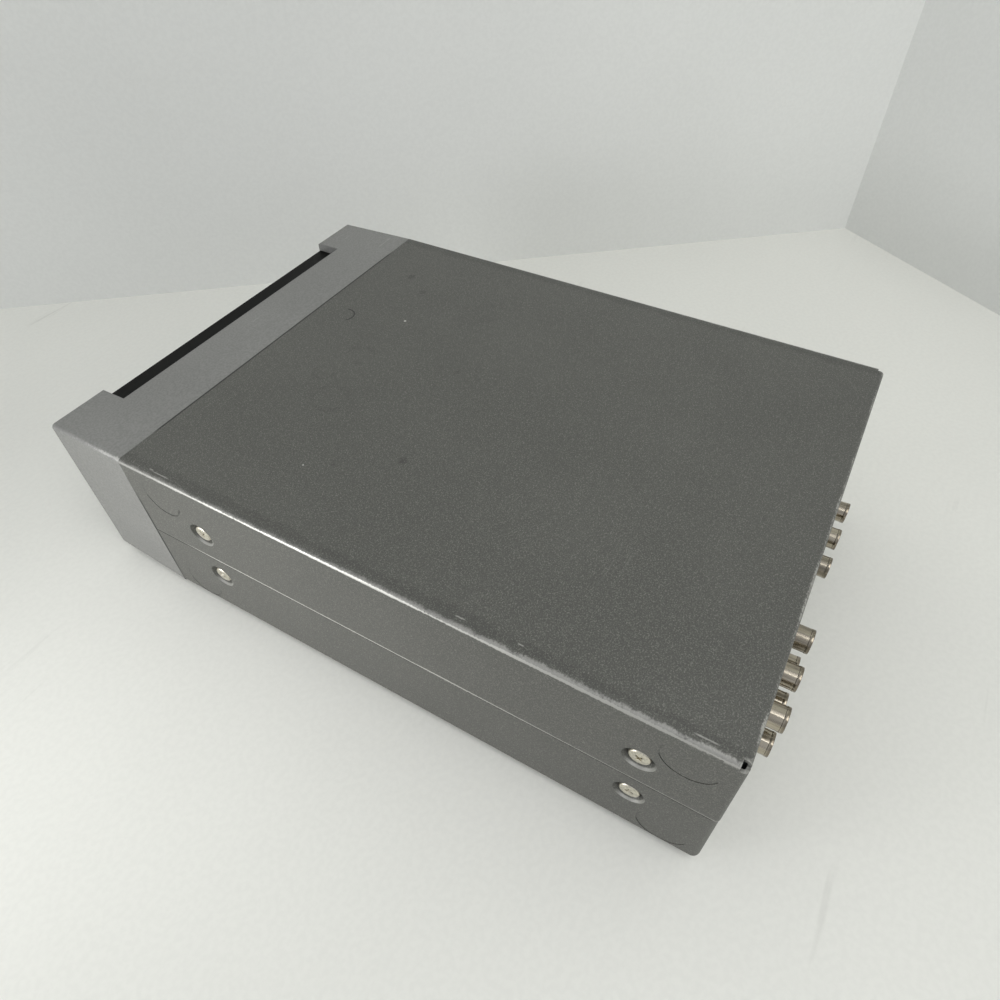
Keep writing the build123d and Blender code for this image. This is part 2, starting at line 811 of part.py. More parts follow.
# Smoked display window, flush in its rebate
with BuildPart() as display_window:
    with BuildSketch(Plane.XZ.offset(-panel_face_y)):
        with Locations((window_x, controls_z)):
            Rectangle(window_width, window_height)
    extrude(amount=-window_thickness)
save(display_window, "display_window")

# Front circuit board with key switches, and controls mounted through it
front_board_z = (panel_low_z + panel_wall + clearance, front_board_top)
front_board_back = front_board_y + board_thickness
with BuildPart() as front_board:
    block((-front_board_half, front_board_half), (front_board_y, front_board_back), front_board_z)
    for x, z in key_places:
        key_x = (x - switch_size / 2, x + switch_size / 2)
        key_z = (z - key_height / 2, z + key_height / 2)
        block(key_x, (front_board_y - switch_height, front_board_y), key_z)
    for x, z in knob_places:
        pot_x = (x - pot_size / 2, x + pot_size / 2)
        pot_z = (z - pot_size / 2, z + pot_size / 2)
        block(pot_x, (front_board_back, front_board_back + pot_depth), pot_z)
    shaft_y = (front_board_y - sheet, front_board_back + knob_bore_depth)
    rods(knob_shaft_radius + shaft_clearance, shaft_y, knob_places, Mode.SUBTRACT)
save(front_board, "front_board")

# Fluorescent display behind the window
with BuildPart() as display_module:
    display_half = window_width / 2 - display_margin
    display_rise = window_height / 2 + display_margin
    block(
        (window_x - display_half, window_x + display_half),
        (panel_inner_y + clearance, front_board_y),
        (controls_z - display_rise, controls_z + display_rise),
    )
save(display_module, "display_module")


# A push button: rounded cap, retaining flange behind its wall and a stem
def push_button(name, place, size, cap_y, wall_y, switch_y):
    with BuildPart() as button:
        with BuildSketch(Plane.XZ.offset(-cap_y)):
            with Locations(place):
                RectangleRounded(size[0], size[1], button_rounding(size))
        extrude(amount=-(wall_y + button_rest_gap - cap_y))
        fillet(button.faces().sort_by(Axis.Y)[0].edges(), button_proud / 2)
        flange_y = wall_y + button_rest_gap
        with BuildSketch(Plane.XZ.offset(-flange_y)):
            with Locations(place):
                Rectangle(size[0] + 2 * button_flange_reach, size[1] + 2 * button_flange_reach)
        extrude(amount=-button_flange)
        rods(stem_radius, (flange_y, switch_y - switch_face), [place])
    save(button, name)


key_names = ("rewind", "play", "fast_forward", "stop", "pause", "record")
for key_name, key_place in zip(key_names, key_places):
    key_front_y = panel_face_y - button_proud
    key_switch_y = front_board_y - switch_height
    key_size = (key_width, key_height)
    push_button(f"{key_name}_button", key_place, key_size, key_front_y, panel_inner_y, key_switch_y)

ear_board_y = front_board_y
for ear_name, side in (("power", -1), ("eject", 1)):
    ear_place = (side * ear_button_x, ear_button_z)
    ear_size = (ear_button_width, ear_button_height)
    ear_cap_y = front_y + button_gap
    ear_switch_y = ear_board_y - switch_height
    push_button(f"{ear_name}_button", ear_place, ear_size, ear_cap_y, front_y + bezel_wall, ear_switch_y)

# Two small switch boards that span the insides of the ears
with BuildPart() as ear_switch_boards:
    board_x = (ear_inner + bezel_wall + shaft_clearance, cavity_half - shaft_clearance)
    board_rise = (ear_button_z - ear_button_height, ear_button_z + ear_button_height)
    block_pair(board_x, (ear_board_y, ear_board_y + board_thickness), board_rise)
    block_pair(
        (ear_button_x - switch_size / 2, ear_button_x + switch_size / 2),
        (ear_board_y - switch_height, ear_board_y),
        (ear_button_z - switch_size / 2, ear_button_z + switch_size / 2),
    )
save(ear_switch_boards, "ear_switch_boards")

# Cassette door, hung on a steel pin along its upper edge
with BuildPart() as cassette_door:
    door_half = mouth_half - door_gap
    with BuildSketch(Plane.YZ.offset(-door_half)):
        with Locations((door_axis_y, door_axis_z)):
            Circle(door_radius)
        with Locations((door_axis_y, door_axis_z - door_reach / 2)):
            Rectangle(door_thickness, door_reach)
        with Locations((door_axis_y, door_axis_z)):
            Circle(door_pin_radius + shaft_clearance, mode=Mode.SUBTRACT)
    extrude(amount=2 * door_half)
save(cassette_door, "cassette_door")

with BuildPart() as door_pin:
    with Locations(door_axis):
        Cylinder(door_pin_radius, 2 * (panel_half - door_pin_end))
save(door_pin, "door_pin")

# Control lid: folds down and out on two stubs at its lower edge
with BuildPart() as control_lid:
    with BuildSketch(Plane.YZ.offset(-lid_half)):
        with Locations((lid_axis_y, lid_axis_z)):
            Circle(lid_radius)
        with Locations((lid_axis_y, (lid_axis_z + lid_high_z) / 2)):
            Rectangle(lid_thickness, lid_high_z - lid_axis_z)
    extrude(amount=2 * lid_half)
    grip_y = (lid_axis_y - lid_thickness, lid_axis_y + lid_thickness)
    rods(lid_grip_radius, grip_y, [(0, lid_high_z)], Mode.SUBTRACT)
    with Locations(lid_axis):
        Cylinder(lid_stub_radius, 2 * (lid_half + lid_stub_length))
save(control_lid, "control_lid")


# A rotary knob with a pointer groove, on the shaft of its control
def level_knob(name, x):
    back_y = recess_y - knob_gap
    with BuildPart() as knob:
        rods(knob_radius, (back_y - knob_length, back_y), [(x, knob_z)])
        rim = knob.edges().filter_by(GeomType.CIRCLE).sort_by(Axis.Y)[0]
        fillet(rim, knob_pointer_depth)
        groove_x = (x - knob_pointer_width / 2, x + knob_pointer_width / 2)
        groove_y = (back_y - knob_length - sheet, back_y - knob_length + knob_pointer_depth)
        block(groove_x, groove_y, (knob_z, knob_z + knob_radius + sheet), Mode.SUBTRACT)
        shaft_end = front_board_back + knob_bore_depth - button_rest_gap
        rods(knob_shaft_radius, (back_y, shaft_end), [(x, knob_z)])
    save(knob, name)


level_knob("left_level_knob", left_knob_x)
level_knob("right_level_knob", right_knob_x)
level_knob("phones_level_knob", phones_knob_x)

# Input slide switch, at the left end of its travel
with BuildPart() as input_switch:
    grip_x = switch_x - switch_travel / 2
    base_y = recess_y + recess_back_wall + slide_clearance
    block(
        (grip_x - switch_grip_length / 2, grip_x + switch_grip_length / 2),
        (recess_y - switch_grip_reach, base_y),
        (knob_z - switch_grip_height / 2, knob_z + switch_grip_height / 2),
    )
    block(
        (grip_x - switch_base_length / 2, grip_x + switch_base_length / 2),
        (base_y, base_y + switch_base_thickness),
        (knob_z - switch_base_height / 2, knob_z + switch_base_height / 2),
    )
save(input_switch, "input_switch")

# Headphone socket, through the front wall of the left ear
with BuildPart() as phones_socket:
    phones_front = front_y + phones_setback
    bore_end = phones_front + phones_bore_length
    rods(phones_neck_radius, (phones_front, front_y + bezel_wall), [phones_place])
    block(
        (phones_place[0] - phones_body / 2, phones_place[0] + phones_body / 2),
        (front_y + bezel_wall, bore_end + phones_end_wall),
        (phones_place[1] - phones_body / 2, phones_place[1] + phones_body / 2),
    )
    rods(phones_bore_radius, (phones_front - sheet, bore_end), [phones_place], Mode.SUBTRACT)
save(phones_socket, "phones_socket")

# Rear panel, held between the covers, with a hole for every socket
with BuildPart() as rear_panel:
    with BuildSketch(Plane.XZ.offset(-rear_panel_y)):
        with Locations((0, (floor_z + ceiling_z) / 2)):
            panel_width = 2 * (inner_half - rear_panel_gap)
            panel_height = ceiling_z - floor_z - 2 * rear_panel_gap
            RectangleRounded(panel_width, panel_height, rear_panel_corner)
        with Locations(*jack_places):
            Circle(jack_radius + jack_collar + clearance, mode=Mode.SUBTRACT)
        with Locations(*s_video_places):
            Circle(s_video_neck + clearance, mode=Mode.SUBTRACT)
        with Locations((digital_x, upper_jack_z)):
            Rectangle(digital_width + 2 * clearance, digital_height + 2 * clearance, mode=Mode.SUBTRACT)
        with Locations(*[(x, upper_jack_z) for x in remote_x]):
            Circle(remote_neck + clearance, mode=Mode.SUBTRACT)
        with Locations((inlet_x, upper_jack_z)):
            Rectangle(inlet_width + 2 * clearance, inlet_height + 2 * clearance, mode=Mode.SUBTRACT)
    extrude(amount=-rear_panel_sheet)
save(rear_panel, "rear_panel")

# Black moulding that carries the nine phono sockets
with BuildPart() as jack_block:
    for columns, high_z in ((main_jack_xs, upper_jack_z), (side_jack_xs, lower_jack_z)):
        block_x = (columns[0] - jack_block_margin, columns[-1] + jack_block_margin)
        block_z = (lower_jack_z - jack_block_margin, high_z + jack_block_margin)
        block(block_x, (jack_face_y, rear_panel_y), block_z)
    rods(jack_radius + jack_collar, (rear_panel_y, panel_seat_y + jack_collar_proud), jack_places)
    root_y = rear_panel_y - jack_root_depth
    flange_radius = jack_radius + jack_flange
    rods(flange_radius + shaft_clearance, (root_y, jack_end_y), jack_places, Mode.SUBTRACT)
save(jack_block, "jack_block")

# Nickel shells of the phono sockets
with BuildPart() as jack_shells:
    rods(jack_radius, (root_y, jack_end_y), jack_places)
    rods(flange_radius, (root_y, panel_seat_y + jack_collar_proud), jack_places)
    rods(jack_radius - jack_shell_wall, (root_y - sheet, jack_end_y + sheet), jack_places, Mode.SUBTRACT)
save(jack_shells, "jack_shells")

# Their insulators, each with its contact bore
with BuildPart() as jack_inserts:
    insert_end_y = jack_end_y - jack_insert_setback
    insert_radius = jack_radius - jack_shell_wall - shaft_clearance
    rods(insert_radius, (root_y, insert_end_y), jack_places)
    rods(jack_contact_radius, (insert_end_y - jack_contact_depth, jack_end_y), jack_places, Mode.SUBTRACT)
save(jack_inserts, "jack_inserts")

# Two round video sockets, each with a ring groove and four contacts
with BuildPart() as s_video_sockets:
    rods(s_video_body, (jack_face_y, rear_panel_y), s_video_places)
    rods(s_video_neck, (rear_panel_y, socket_y), s_video_places)
    groove_y = socket_y - s_video_groove_depth
    with BuildSketch(Plane.XZ.offset(-socket_y)):
        with Locations(*s_video_places):
            Circle(s_video_groove_outer)
            Circle(s_video_groove_inner, mode=Mode.SUBTRACT)
    extrude(amount=s_video_groove_depth, mode=Mode.SUBTRACT)
    with BuildSketch(Plane.XZ.offset(-socket_y)):
        with Locations(*s_video_places):
            with PolarLocations(s_video_contact_circle, 4, start_angle=45):
                Circle(s_video_contact_radius)
    extrude(amount=s_video_groove_depth, mode=Mode.SUBTRACT)
save(s_video_sockets, "s_video_sockets")


# A rectangular socket: flanged body, neck through the rear panel and a cavity
def rectangular_socket(x, size, wall, depth):
    flanged = (size[0] / 2 + socket_flange, size[1] / 2 + socket_flange)
    cavity = (size[0] / 2 - wall, size[1] / 2 - wall)
    z = upper_jack_z
    flange_z = (z - flanged[1], z + flanged[1])
    block((x - flanged[0], x + flanged[0]), (jack_face_y, rear_panel_y), flange_z)
    neck_z = (z - size[1] / 2, z + size[1] / 2)
    block((x - size[0] / 2, x + size[0] / 2), (rear_panel_y, socket_y), neck_z)
    cavity_y = (socket_y - depth, socket_y + sheet)
    block((x - cavity[0], x + cavity[0]), cavity_y, (z - cavity[1], z + cavity[1]), Mode.SUBTRACT)


# Six-contact data socket with its tongue
with BuildPart() as digital_socket:
    rectangular_socket(digital_x, (digital_width, digital_height), digital_wall, digital_depth)
    tongue_half = digital_width / 2 - 2 * digital_wall
    block(
        (digital_x - tongue_half, digital_x + tongue_half),
        (socket_y - digital_depth, socket_y - digital_wall),
        (upper_jack_z - digital_tongue / 2, upper_jack_z + digital_tongue / 2),
    )
save(digital_socket, "digital_socket")

# Power inlet with two pins
with BuildPart() as dc_inlet:
    rectangular_socket(inlet_x, (inlet_width, inlet_height), inlet_wall, inlet_depth)
    pin_places = [(inlet_x + side * inlet_pin_pitch / 2, upper_jack_z) for side in (-1, 1)]
    rods(inlet_pin_radius, (socket_y - inlet_depth, socket_y - inlet_wall), pin_places)
save(dc_inlet, "dc_inlet")

# Two small round sockets for remote control leads
with BuildPart() as remote_sockets:
    for x, bore in zip(remote_x, remote_bores):
        place = [(x, upper_jack_z)]
        block(
            (x - remote_body, x + remote_body),
            (rear_panel_y - remote_depth, rear_panel_y),
            (upper_jack_z - remote_body, upper_jack_z + remote_body),
        )
        rods(remote_neck, (rear_panel_y, socket_y), place)
        rods(bore, (rear_panel_y - remote_depth + sheet, socket_y + sheet), place, Mode.SUBTRACT)
save(remote_sockets, "remote_sockets")

# Jack board behind the sockets, open around the deep remote sockets
with BuildPart() as jack_board:
    board_low_z = bottom_z + jack_board_low
    jack_board_z = (board_low_z, board_low_z + jack_board_height)
    block((-jack_board_half, jack_board_half), (jack_board_y, jack_face_y), jack_board_z)
    for x in remote_x:
        opening_half = remote_body + clearance
        block(
            (x - opening_half, x + opening_half),
            (jack_board_y - sheet, jack_face_y + sheet),
            (upper_jack_z - opening_half, upper_jack_z + opening_half),
            Mode.SUBTRACT,
        )
save(jack_board, "jack_board")

# Main circuit board on the chassis posts
board_top_z = board_z + board_thickness
with BuildPart() as main_board:
    main_board_y = (seam_y + main_board_front, rear_y - main_board_rear)
    block((-main_board_half, main_board_half), main_board_y, (board_z, board_top_z))
    screw_hole = inner_screw_radius + clearance / 2
    posts(screw_hole, (board_z - sheet, board_top_z + sheet), board_places, Mode.SUBTRACT)
save(main_board, "main_board")

# Chips, connectors and capacitors on the main board
with BuildPart() as main_board_parts:
    with Locations((0, chip_grid_y, board_top_z + chip_height / 2)):
        with GridLocations(chip_column_pitch, chip_row_pitch, chip_columns, chip_rows):
            Box(chip_size, chip_size, chip_height)
    connector_z = (board_top_z, board_top_z + connector_height)
    front_connector = (front_connector_x, front_connector_x + connector_width)
    rear_connector = (rear_connector_x, rear_connector_x + connector_length)
    block_pair(front_connector, (front_connector_y, front_connector_y + connector_length), connector_z)
    block_pair(rear_connector, (rear_connector_y, rear_connector_y + connector_width), connector_z)
    can_places = [(small_can_x, small_can_y + row * small_can_pitch) for row in range(small_can_count)]
    posts(small_can_radius, (board_top_z, board_top_z + small_can_height), can_places)
save(main_board_parts, "main_board_parts")

# Shield can over the rear middle of the main board, open below
with BuildPart() as shield_can:
    can_x = (-can_half, can_half)
    can_y = (can_front, can_front + can_depth)
    block(can_x, can_y, (board_top_z, board_top_z + can_height))
    offset(amount=-can_wall, openings=shield_can.faces().sort_by(Axis.Z)[0])
    with Locations((0, can_front + can_depth / 2, board_top_z + can_height)):
        with GridLocations(can_hole_pitch, can_hole_pitch, can_hole_columns, can_hole_rows):
            Cylinder(can_hole_radius, 4 * can_wall, mode=Mode.SUBTRACT)
save(shield_can, "shield_can")

# Power converter board on the rear shelves, with its parts
converter_top_z = shelf_z + board_thickness
with BuildPart() as converter_board:
    converter_y = (converter_front, converter_front + converter_depth)
    block((-converter_half, converter_half), converter_y, (shelf_z, converter_top_z))
    posts(screw_hole, (shelf_z - sheet, converter_top_z + sheet), shelf_places, Mode.SUBTRACT)
save(converter_board, "converter_board")

with BuildPart() as converter_parts:
    middle_y = converter_front + converter_depth / 2
    block(
        (-transformer_width / 2, transformer_width / 2),
        (middle_y - transformer_depth / 2, middle_y + transformer_depth / 2),
        (converter_top_z, converter_top_z + transformer_height),
    )
    coil_places = [(-coil_x, middle_y), (coil_x, middle_y)]
    coil_z = (converter_top_z, converter_top_z + coil_height)
    posts(coil_radius, coil_z, coil_places)
    posts(coil_bore_radius, coil_z, coil_places, Mode.SUBTRACT)
    capacitor_y = converter_front + capacitor_setback
    capacitor_xs = (-coil_x - capacitor_pitch, -coil_x, coil_x, coil_x + capacitor_pitch)
    capacitor_places = [(x, capacitor_y) for x in capacitor_xs]
    posts(capacitor_radius, (converter_top_z, converter_top_z + capacitor_height), capacitor_places)
save(converter_parts, "converter_parts")

# Mechanism plate, with its pivot pins, guide slots and capstan hole
pinch_pivot = (pinch_pivot_x, pinch_pivot_y)
reel_places = [(-reel_spacing / 2, reel_y), (reel_spacing / 2, reel_y)]
cam_place = (cam_x, cam_y)
tension_pivot = (tension_pivot_x, tension_pivot_y)
capstan_place = (capstan_x, capstan_y)
arm_z = plate_z + pinch_arm_rise
reel_seat_z = plate_z + reel_boss_height
cam_seat_z = plate_z + cam_boss_height
tension_z = plate_z + tension_rise
with BuildPart() as mechanism_plate:
    block((-plate_half, plate_half), (plate_front_y, plate_rear_y), (shelf_z, plate_z))
    for side in (-1, 1):
        slot_x = (side * guide_x - guide_slot / 2, side * guide_x + guide_slot / 2)
        slot_end = guide_length / 2 + clearance
        slot_y = (guide_y - slot_end, guide_y + guide_travel + slot_end)
        block(slot_x, slot_y, (shelf_z - sheet, plate_z + sheet), Mode.SUBTRACT)
    plate_span = (shelf_z - sheet, plate_z + sheet)
    posts(capstan_radius + clearance, plate_span, [capstan_place], Mode.SUBTRACT)
    plate_screws = [place for place in shelf_places if place[1] < plate_rear_y]
    posts(screw_hole, plate_span, plate_screws, Mode.SUBTRACT)
    shoulder = pivot_radius * 2
    posts(shoulder, (plate_z, arm_z - slide_clearance), [pinch_pivot])
    posts(pivot_radius, (plate_z, arm_z + pinch_arm_thickness + sheet), [pinch_pivot])
    posts(reel_boss_radius, (plate_z, reel_seat_z - slide_clearance), reel_places)
    posts(pivot_radius, (plate_z, reel_seat_z + reel_disc_thickness + reel_hub_height / 2), reel_places)
    posts(shoulder, (plate_z, cam_seat_z - slide_clearance), [cam_place])
    posts(pivot_radius, (plate_z, cam_seat_z + cam_thickness + sheet), [cam_place])
    posts(shoulder, (plate_z, tension_z - slide_clearance), [tension_pivot])
    posts(pivot_radius, (plate_z, tension_z + tension_thickness + sheet), [tension_pivot])
save(mechanism_plate, "mechanism_plate")

# Inner screws: main board, mechanism plate and converter board
with BuildPart() as inner_screws:
    seats = [(place, board_top_z) for place in board_places]
    seats += [(place, plate_z) for place in plate_screws]
    seats += [(place, converter_top_z) for place in shelf_places if place not in plate_screws]
    for place, seat_z in seats:
        posts(inner_screw_head, (seat_z, seat_z + inner_screw_head_height), [place])
        posts(inner_screw_radius, (seat_z - inner_screw_reach, seat_z), [place])
save(inner_screws, "inner_screws")

# Fixed lower drum on its pedestal
with BuildPart() as lower_drum:
    posts(drum_pedestal_radius, (plate_z, drum_low_z), [(0, drum_y)])
    posts(drum_radius, (drum_low_z, drum_split_z), [(0, drum_y)])
    step_z = drum_low_z + drum_half_height / 2
    with BuildSketch(Plane.XY.offset(step_z)):
        with Locations((0, drum_y)):
            Circle(drum_radius + sheet)
            Circle(drum_radius - drum_step, mode=Mode.SUBTRACT)
    extrude(amount=drum_half_height, mode=Mode.SUBTRACT)
    bore_radius = drum_shaft_radius + shaft_clearance
    posts(bore_radius, (drum_low_z, drum_split_z + sheet), [(0, drum_y)], Mode.SUBTRACT)
save(lower_drum, "lower_drum")

# Turning upper drum with its shaft and two head windows
with BuildPart() as upper_drum:
    upper_drum_z = drum_split_z + drum_gap
    turning_radius = drum_radius - drum_step
    posts(turning_radius, (upper_drum_z, upper_drum_z + drum_half_height), [(0, drum_y)])
    chamfer(upper_drum.edges().filter_by(GeomType.CIRCLE).group_by(Axis.Z)[-1], drum_chamfer)
    posts(drum_shaft_radius, (drum_low_z + drum_gap, upper_drum_z), [(0, drum_y)])
    for side in (-1, 1):
        head_y = drum_y + side * turning_radius
        head_z = (upper_drum_z - sheet, upper_drum_z + sheet)
        block((-sheet, sheet), (head_y - sheet, head_y + sheet), head_z, Mode.SUBTRACT)
save(upper_drum, "upper_drum")

# Capstan bearing, and the capstan with its flywheel below the plate
with BuildPart() as capstan_bearing:
    posts(bearing_radius, (plate_z, plate_z + bearing_height), [capstan_place])
    chamfer(capstan_bearing.edges().group_by(Axis.Z)[-1], sheet)
    bearing_bore = (plate_z - sheet, plate_z + bearing_height + sheet)
    posts(capstan_radius + shaft_clearance, bearing_bore, [capstan_place], Mode.SUBTRACT)
save(capstan_bearing, "capstan_bearing")

with BuildPart() as capstan_flywheel:
    wheel_z = (shelf_z - flywheel_drop - flywheel_thickness, shelf_z - flywheel_drop)
    posts(flywheel_radius, wheel_z, [capstan_place])
    posts(flywheel_recess_radius, (wheel_z[1] - sheet, wheel_z[1]), [capstan_place], Mode.SUBTRACT)
    posts(capstan_radius, (wheel_z[0], plate_z + capstan_height), [capstan_place])
    posts(flywheel_hub_radius, (wheel_z[0], wheel_z[1] + sheet), [capstan_place])
save(capstan_flywheel, "capstan_flywheel")

# Pinch arm, turned clear of the capstan, and the roller on its pin
rest_angle = radians(pinch_engaged_angle + pinch_swing)
roller_x = pinch_pivot_x + pinch_arm_length * cos(rest_angle)
roller_y = pinch_pivot_y + pinch_arm_length * sin(rest_angle)
roller_place = (roller_x, roller_y)
roller_z = arm_z + pinch_arm_thickness + slide_clearance
with BuildPart() as pinch_arm:
    with BuildSketch(Plane.XY.offset(arm_z)):
        with BuildLine():
            Line(pinch_pivot, roller_place)
        trace(line_width=2 * pinch_arm_half)
        with Locations(pinch_pivot, roller_place):
            Circle(pinch_arm_half)
        with Locations(pinch_pivot):
            Circle(pivot_radius + shaft_clearance, mode=Mode.SUBTRACT)
    extrude(amount=pinch_arm_thickness)
    pin_top = roller_z + pinch_roller_height + sheet
    posts(pinch_pin_radius, (arm_z, pin_top), [roller_place])
save(pinch_arm, "pinch_arm")

with BuildPart() as pinch_roller:
    posts(pinch_roller_radius, (roller_z, roller_z + pinch_roller_height), [roller_place])
    roller_bore = (roller_z - sheet, roller_z + pinch_roller_height + sheet)
    posts(pinch_pin_radius + shaft_clearance, roller_bore, [roller_place], Mode.SUBTRACT)
save(pinch_roller, "pinch_roller")


# A reel table: disc, hub with three fins and a bore for its pin
def reel_table(name, place):
    disc_top = reel_seat_z + reel_disc_thickness
    with BuildPart() as table:
        posts(reel_disc_radius, (reel_seat_z, disc_top), [place])
        posts(reel_hub_radius, (disc_top, disc_top + reel_hub_height), [place])
        with Locations((place[0], place[1], disc_top + reel_hub_height / 2)):
            with PolarLocations(reel_hub_radius, 3):
                Box(2 * reel_fin_reach, reel_fin_reach, reel_hub_height)
        bore_z = (reel_seat_z - sheet, disc_top + reel_hub_height / 2 + sheet)
        posts(pivot_radius + shaft_clearance, bore_z, [place], Mode.SUBTRACT)
    save(table, name)


reel_table("supply_reel_table", reel_places[0])
reel_table("takeup_reel_table", reel_places[1])


# A tape guide: sled held in its slot by a keeper, with an upright roller post
def tape_guide(name, x):
    sled_y = (guide_y - guide_length / 2, guide_y + guide_length / 2)
    sled_z = plate_z + button_rest_gap
    sled_top = sled_z + guide_thickness
    with BuildPart() as guide:
        block((x - guide_width / 2, x + guide_width / 2), sled_y, (sled_z, sled_top))
        tongue_half = guide_slot / 2 - slide_clearance
        keeper_z = shelf_z - button_rest_gap
        block((x - tongue_half, x + tongue_half), sled_y, (keeper_z - guide_keeper_thickness, sled_z))
        keeper_x = (x - guide_keeper_width / 2, x + guide_keeper_width / 2)
        block(keeper_x, sled_y, (keeper_z - guide_keeper_thickness, keeper_z))
        posts(guide_post_radius, (sled_top, sled_top + guide_post_height), [(x, guide_y)])
        flange_top = sled_top + guide_post_height
        posts(guide_flange_radius, (flange_top - sheet, flange_top), [(x, guide_y)])
        posts(guide_flange_radius, (sled_top, sled_top + sheet), [(x, guide_y)])
    save(guide, name)


tape_guide("supply_guide", -guide_x)
tape_guide("takeup_guide", guide_x)

# Cam gear that drives the guides and the pinch arm
with BuildPart() as cam_gear:
    with BuildSketch(Plane.XY.offset(cam_seat_z)):
        with Locations(cam_place):
            Circle(cam_radius)
            with PolarLocations(cam_radius, cam_teeth):
                Rectangle(2 * cam_tooth, cam_tooth_width)
            Circle(pivot_radius + shaft_clearance, mode=Mode.SUBTRACT)
    extrude(amount=cam_thickness)
save(cam_gear, "cam_gear")

# Loading motor with its closed gearbox
with BuildPart() as loading_motor:
    motor_z = plate_z + motor_radius
    rods(motor_radius, (motor_y, motor_y + motor_length), [(motor_x, motor_z)])
    gearbox_y = (motor_y + motor_length, motor_y + motor_length + gearbox_length)
    gearbox_x = (motor_x - gearbox_half + sheet, motor_x + gearbox_half + sheet)
    block(gearbox_x, gearbox_y, (plate_z, plate_z + 2 * motor_radius))
save(loading_motor, "loading_motor")

# Tension arm with its tape post
tension_post = (
    tension_pivot_x + tension_length * cos(radians(tension_angle)),
    tension_pivot_y + tension_length * sin(radians(tension_angle)),
)
with BuildPart() as tension_arm:
    with BuildSketch(Plane.XY.offset(tension_z)):
        with BuildLine():
            Line(tension_pivot, tension_post)
        trace(line_width=2 * tension_half)
        with Locations(tension_pivot):
            Circle(2 * pivot_radius)
        with Locations(tension_post):
            Circle(tension_half)
        with Locations(tension_pivot):
            Circle(pivot_radius + shaft_clearance, mode=Mode.SUBTRACT)
    extrude(amount=tension_thickness)
    post_z = (tension_z + tension_thickness, tension_z + tension_thickness + tension_post_height)
    posts(pinch_pin_radius, post_z, [tension_post])
save(tension_arm, "tension_arm")

# Carriage: fixed frame, loading slider inside it and cassette holder inside that
with BuildPart() as carriage_frame:
    carriage_rear_y = slider_rear_y + carriage_travel + carriage_rear_margin
    carriage_y = (plate_front_y + carriage_gap, carriage_rear_y)
    block_pair((carriage_half - carriage_wall, carriage_half), carriage_y, (plate_z, carriage_top_z))
    bridge_start = carriage_y[0] + carriage_bridge_setback
    bridge_y = (bridge_start, bridge_start + carriage_bridge)
    block((-carriage_half, carriage_half), bridge_y, (carriage_top_z - carriage_wall, carriage_top_z))
save(carriage_frame, "carriage_frame")

with BuildPart() as loading_slider:
    slider_y = (slider_front_y, slider_rear_y)
    slider_z = (slider_top_z - slider_height, slider_top_z)
    block_pair((slider_half - slider_sheet, slider_half), slider_y, slider_z)
    bar_y = (slider_rear_y - slider_bar, slider_rear_y)
    block((-slider_half, slider_half), bar_y, (slider_top_z - slider_sheet, slider_top_z))
save(loading_slider, "loading_slider")

with BuildPart() as cassette_holder:
    holder_y = (holder_front_y, holder_rear_y)
    block((-holder_half, holder_half), holder_y, (holder_roof_z, holder_top_z))
    block_pair((holder_inner, holder_half), holder_y, (holder_low_z, holder_top_z))
    block_pair((holder_half - holder_lip, holder_half), holder_y, (holder_low_z, holder_floor_z))
    stop_x = (holder_half - holder_lip, holder_half)
    block_pair(stop_x, (holder_rear_y - holder_sheet, holder_rear_y), (holder_low_z, holder_top_z))
save(cassette_holder, "cassette_holder")

# Flat ribbon cable from the front board to the main board
with BuildPart() as front_ribbon:
    ribbon_points = (
        (front_board_back, ribbon_rise),
        (front_board_back + ribbon_run, ribbon_rise),
        (main_board_y[0] + ribbon_end - ribbon_run, board_top_z + ribbon_lift),
        (main_board_y[0] + ribbon_end, board_top_z + ribbon_lift),
        (main_board_y[0] + ribbon_end, board_top_z),
    )
    with BuildSketch(Plane.YZ.offset(ribbon_x - ribbon_width / 2)):
        with BuildLine():
            Polyline(*ribbon_points)
        trace(line_width=ribbon_thickness)
        split(bisect_by=Plane(origin=(0, 0, board_top_z), z_dir=(0, 0, 1)))
    extrude(amount=ribbon_width)
save(front_ribbon, "front_ribbon")

print("case", width, cover_depth, shell_height)
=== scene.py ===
import json
import math
import random
from functools import reduce

import bpy
from mathutils import Matrix, Vector


